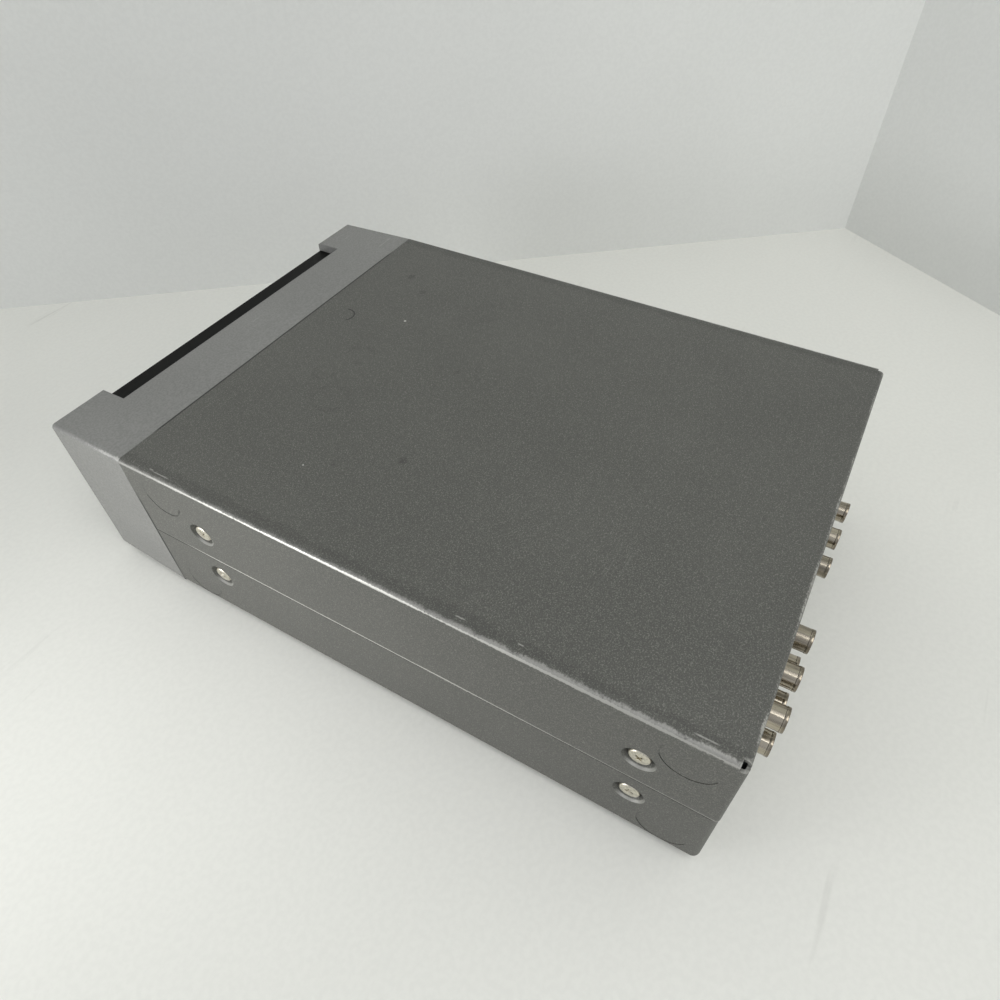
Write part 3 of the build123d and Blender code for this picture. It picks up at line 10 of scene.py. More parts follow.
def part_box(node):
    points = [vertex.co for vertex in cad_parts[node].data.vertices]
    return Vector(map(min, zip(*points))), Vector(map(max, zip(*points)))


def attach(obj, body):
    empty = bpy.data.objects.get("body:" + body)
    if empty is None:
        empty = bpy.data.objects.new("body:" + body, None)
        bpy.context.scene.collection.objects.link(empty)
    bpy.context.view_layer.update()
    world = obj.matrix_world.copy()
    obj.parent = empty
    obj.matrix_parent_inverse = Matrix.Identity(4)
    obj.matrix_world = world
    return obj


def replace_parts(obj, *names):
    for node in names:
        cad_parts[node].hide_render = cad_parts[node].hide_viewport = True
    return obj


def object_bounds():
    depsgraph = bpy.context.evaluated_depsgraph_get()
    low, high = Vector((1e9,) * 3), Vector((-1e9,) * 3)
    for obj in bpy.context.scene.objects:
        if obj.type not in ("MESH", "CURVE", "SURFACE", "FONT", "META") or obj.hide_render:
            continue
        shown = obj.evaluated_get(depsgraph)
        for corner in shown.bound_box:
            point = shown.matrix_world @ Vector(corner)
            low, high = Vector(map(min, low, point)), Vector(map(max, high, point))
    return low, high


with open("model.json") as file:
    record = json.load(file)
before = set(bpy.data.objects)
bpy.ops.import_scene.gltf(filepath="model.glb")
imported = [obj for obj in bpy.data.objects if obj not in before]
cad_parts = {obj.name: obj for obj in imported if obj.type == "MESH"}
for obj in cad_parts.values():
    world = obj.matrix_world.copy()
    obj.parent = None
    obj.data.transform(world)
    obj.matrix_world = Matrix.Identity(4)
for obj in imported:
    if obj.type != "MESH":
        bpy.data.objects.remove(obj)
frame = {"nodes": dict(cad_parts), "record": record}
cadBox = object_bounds()
nodes = frame["nodes"]
scene = bpy.context.scene
scene.view_settings.view_transform = "Standard"
scene.view_settings.look = "None"
print("frame loaded:", len(nodes), "nodes")

# Camera: place, aim and lens of the photograph
view = {
    "eye": (0.17536, 0.10897, 0.24206),
    "aim": (0.01051, 0.01116, 0.03369),
    "roll": math.radians(-1.3509),
    "lens": 25.644,
}


def placeCamera():
    eye = Vector(view["eye"])
    forward = (Vector(view["aim"]) - eye).normalized()
    right = forward.cross(Vector((0, 0, 1))).normalized()
    up = right.cross(forward)
    turn = view["roll"]
    rolledRight = math.cos(turn) * right + math.sin(turn) * up
    rolledUp = math.cos(turn) * up - math.sin(turn) * right
    cameraData = bpy.data.cameras.new("camera")
    cameraData.lens = view["lens"]
    cameraData.clip_start = 0.01
    camera = bpy.data.objects.new("camera", cameraData)
    scene.collection.objects.link(camera)
    axes = Matrix((rolledRight, rolledUp, -forward)).transposed().to_4x4()
    camera.matrix_world = Matrix.Translation(eye) @ axes
    scene.camera = camera


placeCamera()
print("camera placed")

# Lines of the case that the finishes follow, read from the frame
coverLow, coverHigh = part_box("upper_cover")
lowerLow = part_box("lower_cover")[0]
sideX = coverHigh.x
topZ = coverHigh.z
rearY = coverHigh.y
seamY = coverLow.y
seamZ = coverLow.z
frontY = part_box("front_bezel")[0].y
screwSetbacks = (seamY + 0.030, seamY + 0.195)
screwRises = (lowerLow.z + 0.023, lowerLow.z + 0.047)


# Node helpers: a node goes into the tree of the sockets that it's given, with links to them
def isSocket(value):
    return isinstance(value, bpy.types.NodeSocket)


def addNode(kind, inputs, tree=None, **settings):
    tree = tree or next(value.id_data for value in inputs.values() if isSocket(value))
    node = tree.nodes.new("ShaderNode" + kind)
    for key, value in settings.items():
        setattr(node, key, value)
    for key, value in inputs.items():
        if isSocket(value):
            tree.links.new(value, node.inputs[key])
        else:
            node.inputs[key].default_value = value
    return node


def calc(operation, *values):
    return addNode("Math", dict(enumerate(values)), operation=operation).outputs[0]


def remap(value, fromLow, fromHigh, toLow=0.0, toHigh=1.0):
    inputs = {0: value, 1: fromLow, 2: fromHigh, 3: toLow, 4: toHigh}
    return addNode("MapRange", inputs, interpolation_type="SMOOTHSTEP").outputs[0]


def mixColour(share, first, second, blend="MIX"):
    inputs = {0: share, 6: first, 7: second}
    return addNode("Mix", inputs, data_type="RGBA", blend_type=blend).outputs[2]


def axesOf(place):
    return addNode("SeparateXYZ", {0: place}).outputs


def shaded(colour, mask):
    return mixColour(1.0, colour, mask, "MULTIPLY")


def noiseValue(vector, scale, detail):
    inputs = {"Vector": vector, "Scale": scale, "Detail": detail}
    return addNode("TexNoise", inputs).outputs["Fac"]


def largest(values):
    return reduce(lambda total, value: calc("MAXIMUM", total, value), values)


def product(*values):
    return reduce(lambda total, value: calc("MULTIPLY", total, value), values)


# A surface effect is a group that takes a vector and some values, and gives one mask
def newGroup(name, *keys):
    group = bpy.data.node_groups.new(name, "ShaderNodeTree")
    sockets = group.interface
    sockets.new_socket("Vector", in_out="INPUT", socket_type="NodeSocketVector")
    for key in keys:
        sockets.new_socket(key, in_out="INPUT", socket_type="NodeSocketFloat")
    sockets.new_socket("Mask", in_out="OUTPUT", socket_type="NodeSocketFloat")
    return group, group.nodes.new("NodeGroupInput").outputs, group.nodes.new("NodeGroupOutput").inputs


# Grain: fine value noise between two limits
grainEffect = {"detail": 2.0, "range": (0.32, 0.68)}


def makeGrainGroup():
    look = grainEffect
    group, given, result = newGroup("grain", "Scale", "Low", "High")
    noise = noiseValue(given["Vector"], given["Scale"], look["detail"])
    group.links.new(remap(noise, *look["range"], given["Low"], given["High"]), result["Mask"])
    return group


# Ragged band along a line, from the distance to that line: paint wear, stains and scuffs, and the
# painted highlights and sheen of the covers
raggedBandEffect = {
    "fineScale": 1400.0,
    "fineDetail": 3.0,
    "broadDetail": 2.0,
    "swing": 2.4,
    "range": (1.35, 0.55),
}


def makeRaggedBandGroup():
    look = raggedBandEffect
    group, given, result = newGroup("raggedBand", "Distance", "Width", "Raggedness", "Scale")
    fine = noiseValue(given["Vector"], look["fineScale"], look["fineDetail"])
    broad = noiseValue(given["Vector"], given["Scale"], look["broadDetail"])
    both = calc("SUBTRACT", calc("ADD", fine, broad), 1.0)
    swing = product(both, given["Raggedness"], look["swing"])
    ratio = calc("DIVIDE", given["Distance"], given["Width"])
    ragged = calc("ADD", ratio, swing)
    group.links.new(remap(ragged, *look["range"]), result["Mask"])
    return group


# Scratches: sparse thin streaks along one direction of the surface
scratchEffect = {
    "turn": (0.3, 0.2, 0.7),
    "stretch": (1.0, 14.0, 9.0),
    "detail": 3.0,
    "range": (0.66, 0.72),
    "patchScale": 18.0,
    "patchDetail": 1.0,
    "patchRange": (0.52, 0.68),
}


def makeScratchGroup():
    look = scratchEffect
    group, given, result = newGroup("scratches", "Scale", "Amount")
    mapping = {"Vector": given["Vector"], "Rotation": look["turn"], "Scale": look["stretch"]}
    stretched = addNode("Mapping", mapping).outputs[0]
    streaks = remap(noiseValue(stretched, given["Scale"], look["detail"]), *look["range"])
    patch = noiseValue(given["Vector"], look["patchScale"], look["patchDetail"])
    places = remap(patch, *look["patchRange"])
    group.links.new(product(streaks, places, given["Amount"]), result["Mask"])
    return group


# Dust: a soft cloudy film with specks
dustEffect = {
    "detail": 5.0,
    "range": (0.4, 0.75),
    "speckScale": 2400.0,
    "speckDetail": 0.0,
    "speckRange": (0.74, 0.8),
}


def makeDustGroup():
    look = dustEffect
    group, given, result = newGroup("dust", "Scale", "Amount")
    film = remap(noiseValue(given["Vector"], given["Scale"], look["detail"]), *look["range"])
    specks = noiseValue(given["Vector"], look["speckScale"], look["speckDetail"])
    both = calc("ADD", film, remap(specks, *look["speckRange"]))
    group.links.new(product(both, given["Amount"]), result["Mask"])
    return group


grainGroup = makeGrainGroup()
raggedBandGroup = makeRaggedBandGroup()
scratchGroup = makeScratchGroup()
dustGroup = makeDustGroup()
print("surface effects built")


def placeGroup(group, inputs):
    return addNode("Group", inputs, node_tree=group).outputs[0]


def grainMask(place, scale, low, high):
    return placeGroup(grainGroup, {"Vector": place, "Scale": scale, "Low": low, "High": high})


def scratchMask(place, scale, amount):
    return placeGroup(scratchGroup, {"Vector": place, "Scale": scale, "Amount": amount})


def dustMask(place, amount, scale=12.0):
    return placeGroup(dustGroup, {"Vector": place, "Scale": scale, "Amount": amount})


# A ragged band of one style along a distance
def raggedBandMask(place, distance, style):
    inputs = {"Vector": place, "Distance": distance, "Width": style["width"]}
    inputs.update({"Raggedness": style["raggedness"], "Scale": style["scale"]})
    return product(placeGroup(raggedBandGroup, inputs), style["share"])


# Colours are given in levels of 255, as on a screen
screenGamma = 2.2


def paint(red, green, blue):
    return tuple((value / 255) ** screenGamma for value in (red, green, blue)) + (1.0,)


# A material starts as its shader and the piece's own coordinates
def startMaterial(name, roughness=0.5, metallic=0.0, specular=0.5):
    material = bpy.data.materials.new(name)
    material.use_nodes = True
    tree = material.node_tree
    shader = tree.nodes["Principled BSDF"]
    shader.inputs["Roughness"].default_value = roughness
    shader.inputs["Metallic"].default_value = metallic
    shader.inputs["Specular IOR Level"].default_value = specular
    place = addNode("TexCoord", {}, tree).outputs["Object"]
    return material, shader, place


def feed(shader, value, socketName="Base Color"):
    shader.id_data.links.new(value, shader.inputs[socketName])


def addBump(shader, height, distance, strength=1.0):
    bump = addNode("Bump", {"Height": height, "Distance": distance, "Strength": strength})
    feed(shader, bump.outputs[0], "Normal")


# Distance in the plane square to one axis, from a line given by two of its coordinates
def lineDistance(first, firstAt, second, secondAt):
    a = calc("SUBTRACT", first, firstAt)
    b = calc("SUBTRACT", second, secondAt)
    return calc("SQRT", calc("ADD", calc("MULTIPLY", a, a), calc("MULTIPLY", b, b)))


def pointDistance(place, point):
    return addNode("VectorMath", {0: place, 1: point}, operation="DISTANCE").outputs["Value"]


def awayFrom(value, middle):
    return calc("ABSOLUTE", calc("SUBTRACT", value, middle))


def bandMask(value, middle, halfWidth):
    outer, inner = bandEdges
    return remap(awayFrom(value, middle), halfWidth * outer, halfWidth * inner)


# How far a point lies to one side of another, in a direction of the plane
def leanValue(first, firstAt, firstShare, second, secondAt, secondShare):
    a = product(calc("SUBTRACT", first, firstAt), firstShare)
    b = product(calc("SUBTRACT", second, secondAt), secondShare)
    return calc("ADD", a, b)


# Soft edges of bands and specks, in shares of their size
bandEdges = (1.3, 0.6)
speckEdges = (1.3, 0.7)

# Top faces, and the part of them between the ears of the front
topDepths = (0.002, 0.0005)
gapEnds = (0.074, 0.069)


# Painted shade: a dark line where the bezel meets the covers, on the top mostly between the ears, on the
# sides over a band of height
def gapShadeMask(axes, absX, gap):
    y, z = axes["Y"], axes["Z"]
    onTop = remap(z, topZ - topDepths[0], topZ - topDepths[1])
    offTop = calc("SUBTRACT", 1.0, onTop)
    top = product(onTop, remap(absX, *gapEnds, *gap["shares"]))
    side = product(offTop, bandMask(z, *gap["side"]))
    topBand = bandMask(y, seamY, gap["topHalfWidth"])
    sideBand = bandMask(y, seamY, gap["sideHalfWidth"])
    return calc("MAXIMUM", product(topBand, top), product(sideBand, side))


coverLook = {
    "paint": paint(90, 90, 86),
    "fleck": paint(140, 140, 133),
    # Pale metal of paint wear, also used for the painted highlights and sheen
    "bareMetalAndHighlight": paint(196, 195, 189),
    "darkLine": paint(26, 26, 25),
    "grain": (2100.0, 0.87, 1.13),
    "cloud": (22.0, 0.96, 1.04),
    "flecks": (2600.0, -1.2, 0.5),
    "wornRoughness": (0.47, 0.42),
    "wornMetallic": (0.3, 0.5),
    "bump": (0.00008, 0.4),
    "shine": {"width": 0.00042, "raggedness": 0.8, "scale": 60.0, "share": 1.0},
    "shineInset": (0.00016, 0.00096),
    "shineFades": ((-0.09, -0.03, 0.35, 0.9), (0.03, 0.09, 1.0, 0.7)),
    "bendSheen": {"raggedness": 0.7, "scale": 240.0, "share": 1.0},
    "bendSheenWidth": (0.0009, 0.00135),
    "bendSheenFade": (-0.04, 0.08, 0.18, 0.42),
    "rearEdge": {"width": 0.0006, "raggedness": 1.0, "scale": 90.0, "share": 0.6},
    "seam": {"width": 0.00048, "raggedness": 0.6, "scale": 50.0, "share": 1.0},
    "seamLift": 0.0002,
    "seamFront": (0.012, 0.03, 0.1, 1.0),
    "seamFade": (0.02, 0.1, 1.0, 0.35),
    "corner": {"width": 0.0028, "raggedness": 0.3, "scale": 500.0, "share": 0.8},
    "recess": {"radius": 0.0050, "halfWidth": 0.00034, "lean": 0.5, "fade": 0.0045, "share": 0.5},
    "nick": {"width": 0.00022, "raggedness": 0.5, "scale": 700.0, "share": 0.55},
    "nickPlaces": (
        (0.0868, -0.0765, 0.0036),
        (0.0864, -0.0812, 0.0009),
        (0.0858, 0.0420, 0.0016),
        (0.0852, 0.0610, 0.0009),
        (0.0862, 0.1135, 0.0030),
    ),
    "scratches": (42.0, 0.05),
    "edgeScratches": (110.0, 0.7),
    "edgeScratchReach": (0.006, 0.001),
    "circle": {"radius": 0.0081, "halfWidth": 0.00026, "lean": (-0.6, -0.8), "share": 0.3},
    "circleFade": (0.0005, 0.003),
    "rightDepths": (0.001, 0.0002),
    "circlePlaces": ((-0.07965, 0.0616), (0.11215, 0.0616), (-0.07965, 0.0134), (0.11215, 0.0134)),
    "arc": {"x": -0.0200, "y": -0.0820, "radius": 0.0042, "halfWidth": 0.00032, "lean": (0.86, -0.51)},
    "arcFade": (0.0006, 0.0014, 0.0, 0.75),
    "stain": {"raggedness": 1.6, "scale": 300.0, "share": 0.3},
    "stainPlaces": (
        (-0.0588, -0.0743, 0.0016),
        (-0.0508, -0.0623, 0.0010),
        (-0.0090, -0.0184, 0.0008),
        (0.0544, -0.0285, 0.0008),
        (0.0421, -0.0081, 0.0014),
    ),
    "scuff": {"width": 0.0005, "raggedness": 3.4, "scale": 160.0, "share": 0.12},
    "scuffPlaces": ((0.0271, -0.0519, 0.0070), (0.0001, -0.0584, 0.0055), (0.0160, -0.0640, 0.0040)),
    "innerEdgeBand": {"width": 0.0016, "raggedness": 1.3, "scale": 130.0, "share": 0.16},
    "innerEdgeBandInset": 0.0035,
    "whiteSpecks": ((-0.0283, -0.0563, 0.0005), (0.0597, -0.0372, 0.00028)),
    "gap": {
        "topHalfWidth": 0.00042,
        "sideHalfWidth": 0.0008,
        "shares": (0.1, 0.85),
        "side": (0.03, 0.024),
    },
}


# Pale metal bands of the covers: paint wear at the rear edge, the corners, small nicks and scratches;
# painted highlight and sheen along the bends, painted highlight along the seam and on the lower edges of
# the screw recesses
def coverWearAndHighlights(place, axes, absX, look):
    y, z = axes["Y"], axes["Z"]
    # Painted highlight, partly paint wear: a pale band just inside the bend, fading towards the front
    # and a little towards the rear
    insetX, insetZ = look["shineInset"]
    shineLine = lineDistance(absX, sideX - insetX, z, topZ - insetZ)
    fades = [remap(y, *fade) for fade in look["shineFades"]]
    shine = product(raggedBandMask(place, shineLine, look["shine"]), *fades)
    bendLine = lineDistance(absX, sideX, z, topZ)
    # Painted sheen: a wider pale metal band over the bend, wider and stronger towards the rear
    bendSheenWidth = remap(y, seamY, rearY, *look["bendSheenWidth"])
    bendSheen = raggedBandMask(place, bendLine, {**look["bendSheen"], "width": bendSheenWidth})
    bendSheen = product(bendSheen, remap(y, *look["bendSheenFade"]))
    rearEdge = raggedBandMask(place, lineDistance(y, rearY, z, topZ), look["rearEdge"])
    # Painted highlight: a pale line along the edge at the seam, fading in at the front and fading
    # towards the rear
    seam = raggedBandMask(place, awayFrom(z, seamZ + look["seamLift"]), look["seam"])
    start, end, low, high = look["seamFront"]
    seam = product(seam, remap(y, seamY + start, seamY + end, low, high))
    seam = product(seam, remap(y, *look["seamFade"]))
    mirrored = addNode("VectorMath", {0: place}, operation="ABSOLUTE").outputs[0]
    corner = raggedBandMask(place, pointDistance(mirrored, (sideX, rearY, topZ)), look["corner"])
    # Painted highlight: a pale line on the lower rear side of each screw recess only, the side that
    # faces the light
    recess = look["recess"]
    rimHighlights = []
    for screwY in screwSetbacks:
        for screwZ in screwRises:
            ringLine = lineDistance(y, screwY, z, screwZ)
            ring = bandMask(ringLine, recess["radius"], recess["halfWidth"])
            lean = leanValue(y, screwY, recess["lean"], z, screwZ, -1.0)
            rimHighlights.append(product(ring, remap(lean, 0.0, recess["fade"]), recess["share"]))
    nicks = []
    for nickX, nickY, nickLength in look["nickPlaces"]:
        nick = raggedBandMask(place, lineDistance(axes["X"], nickX, z, topZ), look["nick"])
        nicks.append(product(nick, bandMask(y, nickY, nickLength)))
    scratches = scratchMask(place, *look["scratches"])
    edgeScratches = scratchMask(place, *look["edgeScratches"])
    edgeScratches = product(edgeScratches, remap(bendLine, *look["edgeScratchReach"]))
    edges = [shine, bendSheen, rearEdge, seam, corner, scratches, edgeScratches]
    return largest(edges + rimHighlights + nicks)


# Dark lines of the covers: circles of the right side, with painted shade on one half of each; arc,
# stains and scuffs of the top; a darker band inside the long top edges; painted shade in the front gap
def coverMarks(place, axes, absX, look):
    x, y, z = axes["X"], axes["Y"], axes["Z"]
    deep, shallow = look["rightDepths"]
    onRight = remap(x, sideX - deep, sideX - shallow)
    circle = look["circle"]
    marks = []
    # Painted shade: each ring on the right side is darkened only on its lower front half, the shaded
    # side of the engraved groove
    for markY, markZ in look["circlePlaces"]:
        ringLine = lineDistance(y, markY, z, markZ)
        ring = bandMask(ringLine, circle["radius"], circle["halfWidth"])
        lean = leanValue(y, markY, circle["lean"][0], z, markZ, circle["lean"][1])
        ring = product(ring, remap(lean, *look["circleFade"]))
        marks.append(product(ring, onRight, circle["share"]))
    arc = look["arc"]
    arcLine = pointDistance(place, (arc["x"], arc["y"], topZ))
    arcBand = bandMask(arcLine, arc["radius"], arc["halfWidth"])
    lean = leanValue(y, arc["y"], arc["lean"][0], x, arc["x"], arc["lean"][1])
    marks.append(product(arcBand, remap(lean, *look["arcFade"])))
    for stainX, stainY, radius in look["stainPlaces"]:
        away = pointDistance(place, (stainX, stainY, topZ))
        marks.append(raggedBandMask(place, away, {**look["stain"], "width": radius}))
    for scuffX, scuffY, radius in look["scuffPlaces"]:
        away = awayFrom(pointDistance(place, (scuffX, scuffY, topZ)), radius)
        marks.append(raggedBandMask(place, away, look["scuff"]))
    # A darker band on the top, a little inside each long edge
    innerEdgeBandLine = lineDistance(absX, sideX - look["innerEdgeBandInset"], z, topZ)
    marks.append(raggedBandMask(place, innerEdgeBandLine, look["innerEdgeBand"]))
    marks.append(gapShadeMask(axes, absX, look["gap"]))
    return largest(marks)


def makeCoverPaint():
    look = coverLook
    material, shader, place = startMaterial("cover_paint", roughness=0.46, metallic=0.3)
    axes = axesOf(place)
    absX = calc("ABSOLUTE", axes["X"])
    grain = grainMask(place, *look["grain"])
    cloud = grainMask(place, *look["cloud"])
    flecks = calc("MAXIMUM", grainMask(place, *look["flecks"]), 0.0)
    tinted = shaded(look["paint"], product(grain, cloud))
    flecked = mixColour(flecks, tinted, look["fleck"])
    # One mask for paint wear and painted highlights: it lightens the paint towards pale metal and sets
    # roughness and metallic
    wear = coverWearAndHighlights(place, axes, absX, look)
    wornAndHighlighted = mixColour(wear, flecked, look["bareMetalAndHighlight"])
    lined = mixColour(coverMarks(place, axes, absX, look), wornAndHighlighted, look["darkLine"])
    specks = []
    for speckX, speckY, radius in look["whiteSpecks"]:
        away = pointDistance(place, (speckX, speckY, topZ))
        specks.append(remap(away, radius * speckEdges[0], radius * speckEdges[1]))
    feed(shader, mixColour(largest(specks), lined, look["bareMetalAndHighlight"]))
    feed(shader, remap(wear, 0.0, 1.0, *look["wornRoughness"]), "Roughness")
    feed(shader, remap(wear, 0.0, 1.0, *look["wornMetallic"]), "Metallic")
    addBump(shader, grain, *look["bump"])
    return material


bezelLook = {
    "plastic": paint(127, 127, 124),
    "pale": paint(168, 168, 163),
    "darkLine": paint(24, 24, 23),
    "grain": (1300.0, 0.9, 1.1),
    "cloud": (18.0, 0.95, 1.05),
    "bump": (0.0001, 0.5),
    "scratches": (70.0, 0.5),
    "edge": {"width": 0.0006, "raggedness": 0.8, "scale": 220.0, "share": 1.0},
    "edgeInset": (0.0006, 0.0004),
    "gap": {
        "topHalfWidth": 0.0003,
        "sideHalfWidth": 0.0003,
        "shares": (0.25, 0.9),
        "side": (seamZ, 0.026),
    },
}


def makeBezelPlastic():
    look = bezelLook
    material, shader, place = startMaterial("bezel_plastic", roughness=0.5, metallic=0.1)
    axes = axesOf(place)
    absX = calc("ABSOLUTE", axes["X"])
    grain = grainMask(place, *look["grain"])
    cloud = grainMask(place, *look["cloud"])
    tinted = shaded(look["plastic"], product(grain, cloud))
    insetX, insetZ = look["edgeInset"]
    edge = lineDistance(absX, sideX - insetX, axes["Z"], topZ - insetZ)
    wear = raggedBandMask(place, edge, look["edge"])
    paleShare = calc("MAXIMUM", scratchMask(place, *look["scratches"]), wear)
    pale = mixColour(paleShare, tinted, look["pale"])
    # Painted shade: a dark line at the joint with the covers
    gap = gapShadeMask(axes, absX, look["gap"])
    feed(shader, mixColour(gap, pale, look["darkLine"]))
    addBump(shader, grain, *look["bump"])
    return material


# Plain finishes: the common values, and what each one has of its own
commonFinish = {
    "roughness": 0.5,
    "metallic": 0.0,
    "specular": 0.5,
    "grain": 1500.0,
    "depth": 0.1,
    "dust": 0.05,
    "bump": 0.1,
}
finishes = {
    "panel_black": {
        "colour": paint(7, 7, 7), "roughness": 0.38, "specular": 0.1, "grain": 700.0,
        "depth": 0.06, "dust": 0.012, "bump": 0.02,
    },
    "key_plastic": {"colour": paint(66, 67, 69), "depth": 0.14, "dust": 0.04, "bump": 0.4},
    "knob_plastic": {"colour": paint(30, 30, 30), "roughness": 0.45, "depth": 0.12, "bump": 0.3},
    "display_glass": {
        "colour": paint(12, 20, 20), "roughness": 0.15, "grain": 500.0,
        "dust": 0.01, "bump": 0.0,
    },
    "foot_rubber": {
        "colour": paint(34, 34, 33), "roughness": 0.85, "grain": 900.0,
        "depth": 0.25, "dust": 0.2, "bump": 0.6,
    },
    "screw_steel": {
        "colour": paint(208, 203, 188), "roughness": 0.32, "metallic": 1.0, "grain": 1200.0,
        "depth": 0.15, "dust": 0.08, "bump": 0.2,
    },
    "rear_paint": {"colour": paint(46, 46, 45), "depth": 0.2, "dust": 0.06, "bump": 0.4},
    "socket_plastic": {
        "colour": paint(22, 22, 22), "grain": 1200.0, "depth": 0.15,
        "dust": 0.06, "bump": 0.3,
    },
    "chip_black": {
        "colour": paint(30, 30, 32), "roughness": 0.6, "grain": 1400.0,
        "depth": 0.2, "dust": 0.1, "bump": 0.4,
    },
    "tin_sheet": {
        "colour": paint(200, 200, 198), "roughness": 0.4, "metallic": 1.0,
        "grain": 250.0, "depth": 0.12,
    },
    "chassis_steel": {
        "colour": paint(196, 197, 194), "roughness": 0.38, "metallic": 1.0,
        "grain": 160.0, "depth": 0.14, "dust": 0.06,
    },
    "reel_plastic": {
        "colour": paint(226, 225, 219), "roughness": 0.42,
        "grain": 800.0, "depth": 0.05,
    },
    "roller_rubber": {
        "colour": paint(24, 24, 24), "roughness": 0.7, "grain": 1000.0,
        "depth": 0.2, "bump": 0.4,
    },
    "motor_case": {
        "colour": paint(180, 181, 182), "roughness": 0.3, "metallic": 1.0,
        "grain": 300.0, "dust": 0.04,
    },
    "ribbon_film": {
        "colour": paint(222, 223, 226), "roughness": 0.4, "grain": 600.0,
        "depth": 0.06, "dust": 0.03, "bump": 0.05,
    },
    "white_print": {
        "colour": paint(206, 206, 200), "roughness": 0.6, "grain": 1800.0,
        "dust": 0.02, "bump": 0.2,
    },
    "blank_plate": {
        "colour": paint(176, 177, 176), "roughness": 0.4, "metallic": 0.9,
        "grain": 500.0, "depth": 0.08,
    },
}
dustColour = paint(186, 184, 176)
dustRoughness = 0.6
dullest = 0.95
grainHeight = 0.0001


def makeFinish(name):
    look = {**commonFinish, **finishes[name]}
    gloss = [look[key] for key in ("roughness", "metallic", "specular")]
    material, shader, place = startMaterial(name, *gloss)
    grain = grainMask(place, look["grain"], 1 - look["depth"], 1 + look["depth"])
    tinted = shaded(look["colour"], grain)
    dust = dustMask(place, look["dust"])
    feed(shader, mixColour(dust, tinted, dustColour))
    rough = calc("MULTIPLY_ADD", dust, dustRoughness, look["roughness"])
    feed(shader, calc("MINIMUM", rough, dullest), "Roughness")
    addBump(shader, grain, grainHeight, look["bump"])
    return material


# Turned metal: fine rings about the axis of the piece's group
turned = {
    "drum_aluminium": {"colour": paint(214, 215, 216), "roughness": 0.22},
    "capstan_metal": {"colour": paint(204, 178, 118), "roughness": 0.25},
}
ringWaves = {"Scale": 700.0, "Distortion": 1.5}
ringShades = (0.88, 1.06)
ringBump = (0.00004, 0.3)


def makeTurned(name):
    look = turned[name]
    material, shader, place = startMaterial(name, look["roughness"], 1.0)
    waves = {"Vector": place, **ringWaves}
    rings = addNode("TexWave", waves, bands_direction="Z").outputs["Fac"]
    shade = remap(rings, 0.0, 1.0, *ringShades)
    feed(shader, shaded(look["colour"], shade))
    addBump(shader, rings, *ringBump)
    return material


# Nickel: streaks along the socket and a darker rim at its end
nickelLook = {
    "bright": paint(176, 168, 152),
    "dark": paint(92, 82, 68),
    "stretch": (1.0, 0.06, 1.0),
    "streaks": (700.0, 0.7, 1.15),
    "rimDepths": (0.00126, 0.00036),
    "rimShare": 0.55,
    "dust": (0.2, 60.0),
    "roughness": (0.28, 0.14),
}


def makeNickel():
    look = nickelLook
    material, shader, place = startMaterial("jack_nickel", 0.2, 1.0)
    y = axesOf(place)["Y"]
    stretched = addNode("Mapping", {"Vector": place, "Scale": look["stretch"]}).outputs[0]
    streaks = grainMask(stretched, *look["streaks"])
    tinted = shaded(look["bright"], streaks)
    endY = cadBox[1].y
    deep, shallow = look["rimDepths"]
    rim = remap(y, endY - deep, endY - shallow, 0.0, look["rimShare"])
    dullShare = calc("MAXIMUM", rim, dustMask(place, *look["dust"]))
    feed(shader, mixColour(dullShare, tinted, look["dark"]))
    rough = remap(streaks, *look["streaks"][1:], *look["roughness"])
    feed(shader, rough, "Roughness")
    return material


# Insulators: one colour for each column of sockets
insertLook = {
    "low": -0.07,
    "high": 0.07,
    "grain": (900.0, 0.92, 1.06),
    "columns": (
        (0.0, paint(60, 128, 74)),
        (0.131, paint(52, 84, 150)),
        (0.245, paint(160, 44, 40)),
        (0.5, paint(206, 178, 52)),
        (0.706, paint(222, 220, 210)),
        (0.815, paint(164, 44, 40)),
    ),
}


def makeInserts():
    look = insertLook
    material, shader, place = startMaterial("jack_colours", 0.45)
    across = axesOf(place)["X"]
    share = addNode("MapRange", {0: across, 1: look["low"], 2: look["high"]}).outputs[0]
    ramp = addNode("ValToRGB", {0: share})
    ramp.color_ramp.interpolation = "CONSTANT"
    elements = ramp.color_ramp.elements
    while len(elements) < len(look["columns"]):
        elements.new(0.9)
    for element, (start, colour) in zip(elements, look["columns"]):
        element.position = start
        element.color = colour
    grain = grainMask(place, *look["grain"])
    feed(shader, shaded(ramp.outputs["Color"], grain))
    return material


# Circuit board: green mask over lighter tracks
boardLook = {
    "mask": paint(30, 84, 46),
    "track": paint(52, 116, 66),
    "cell": 260.0,
    "trackWidth": 0.03,
    "bump": (0.00005, 0.3),
    "grain": (400.0, 0.9, 1.08),
}


def makeBoard():
    look = boardLook
    material, shader, place = startMaterial("board_green", 0.35)
    bricks = {"Vector": place, "Scale": look["cell"], "Mortar Size": look["trackWidth"]}
    bricks.update({"Color1": look["mask"], "Color2": look["mask"], "Mortar": look["track"]})
    cells = addNode("TexBrick", bricks).outputs
    grain = grainMask(place, *look["grain"])
    feed(shader, shaded(cells["Color"], grain))
    addBump(shader, cells["Fac"], *look["bump"])
    return material


# Smoked window: dark clear plastic with a little dust in its gloss
windowLook = {
    "tint": paint(120, 122, 128),
    "index": 1.49,
    "smoke": (40.0, 0.94, 1.0),
    "dust": (0.03, 30.0),
    "gloss": 0.015,
}


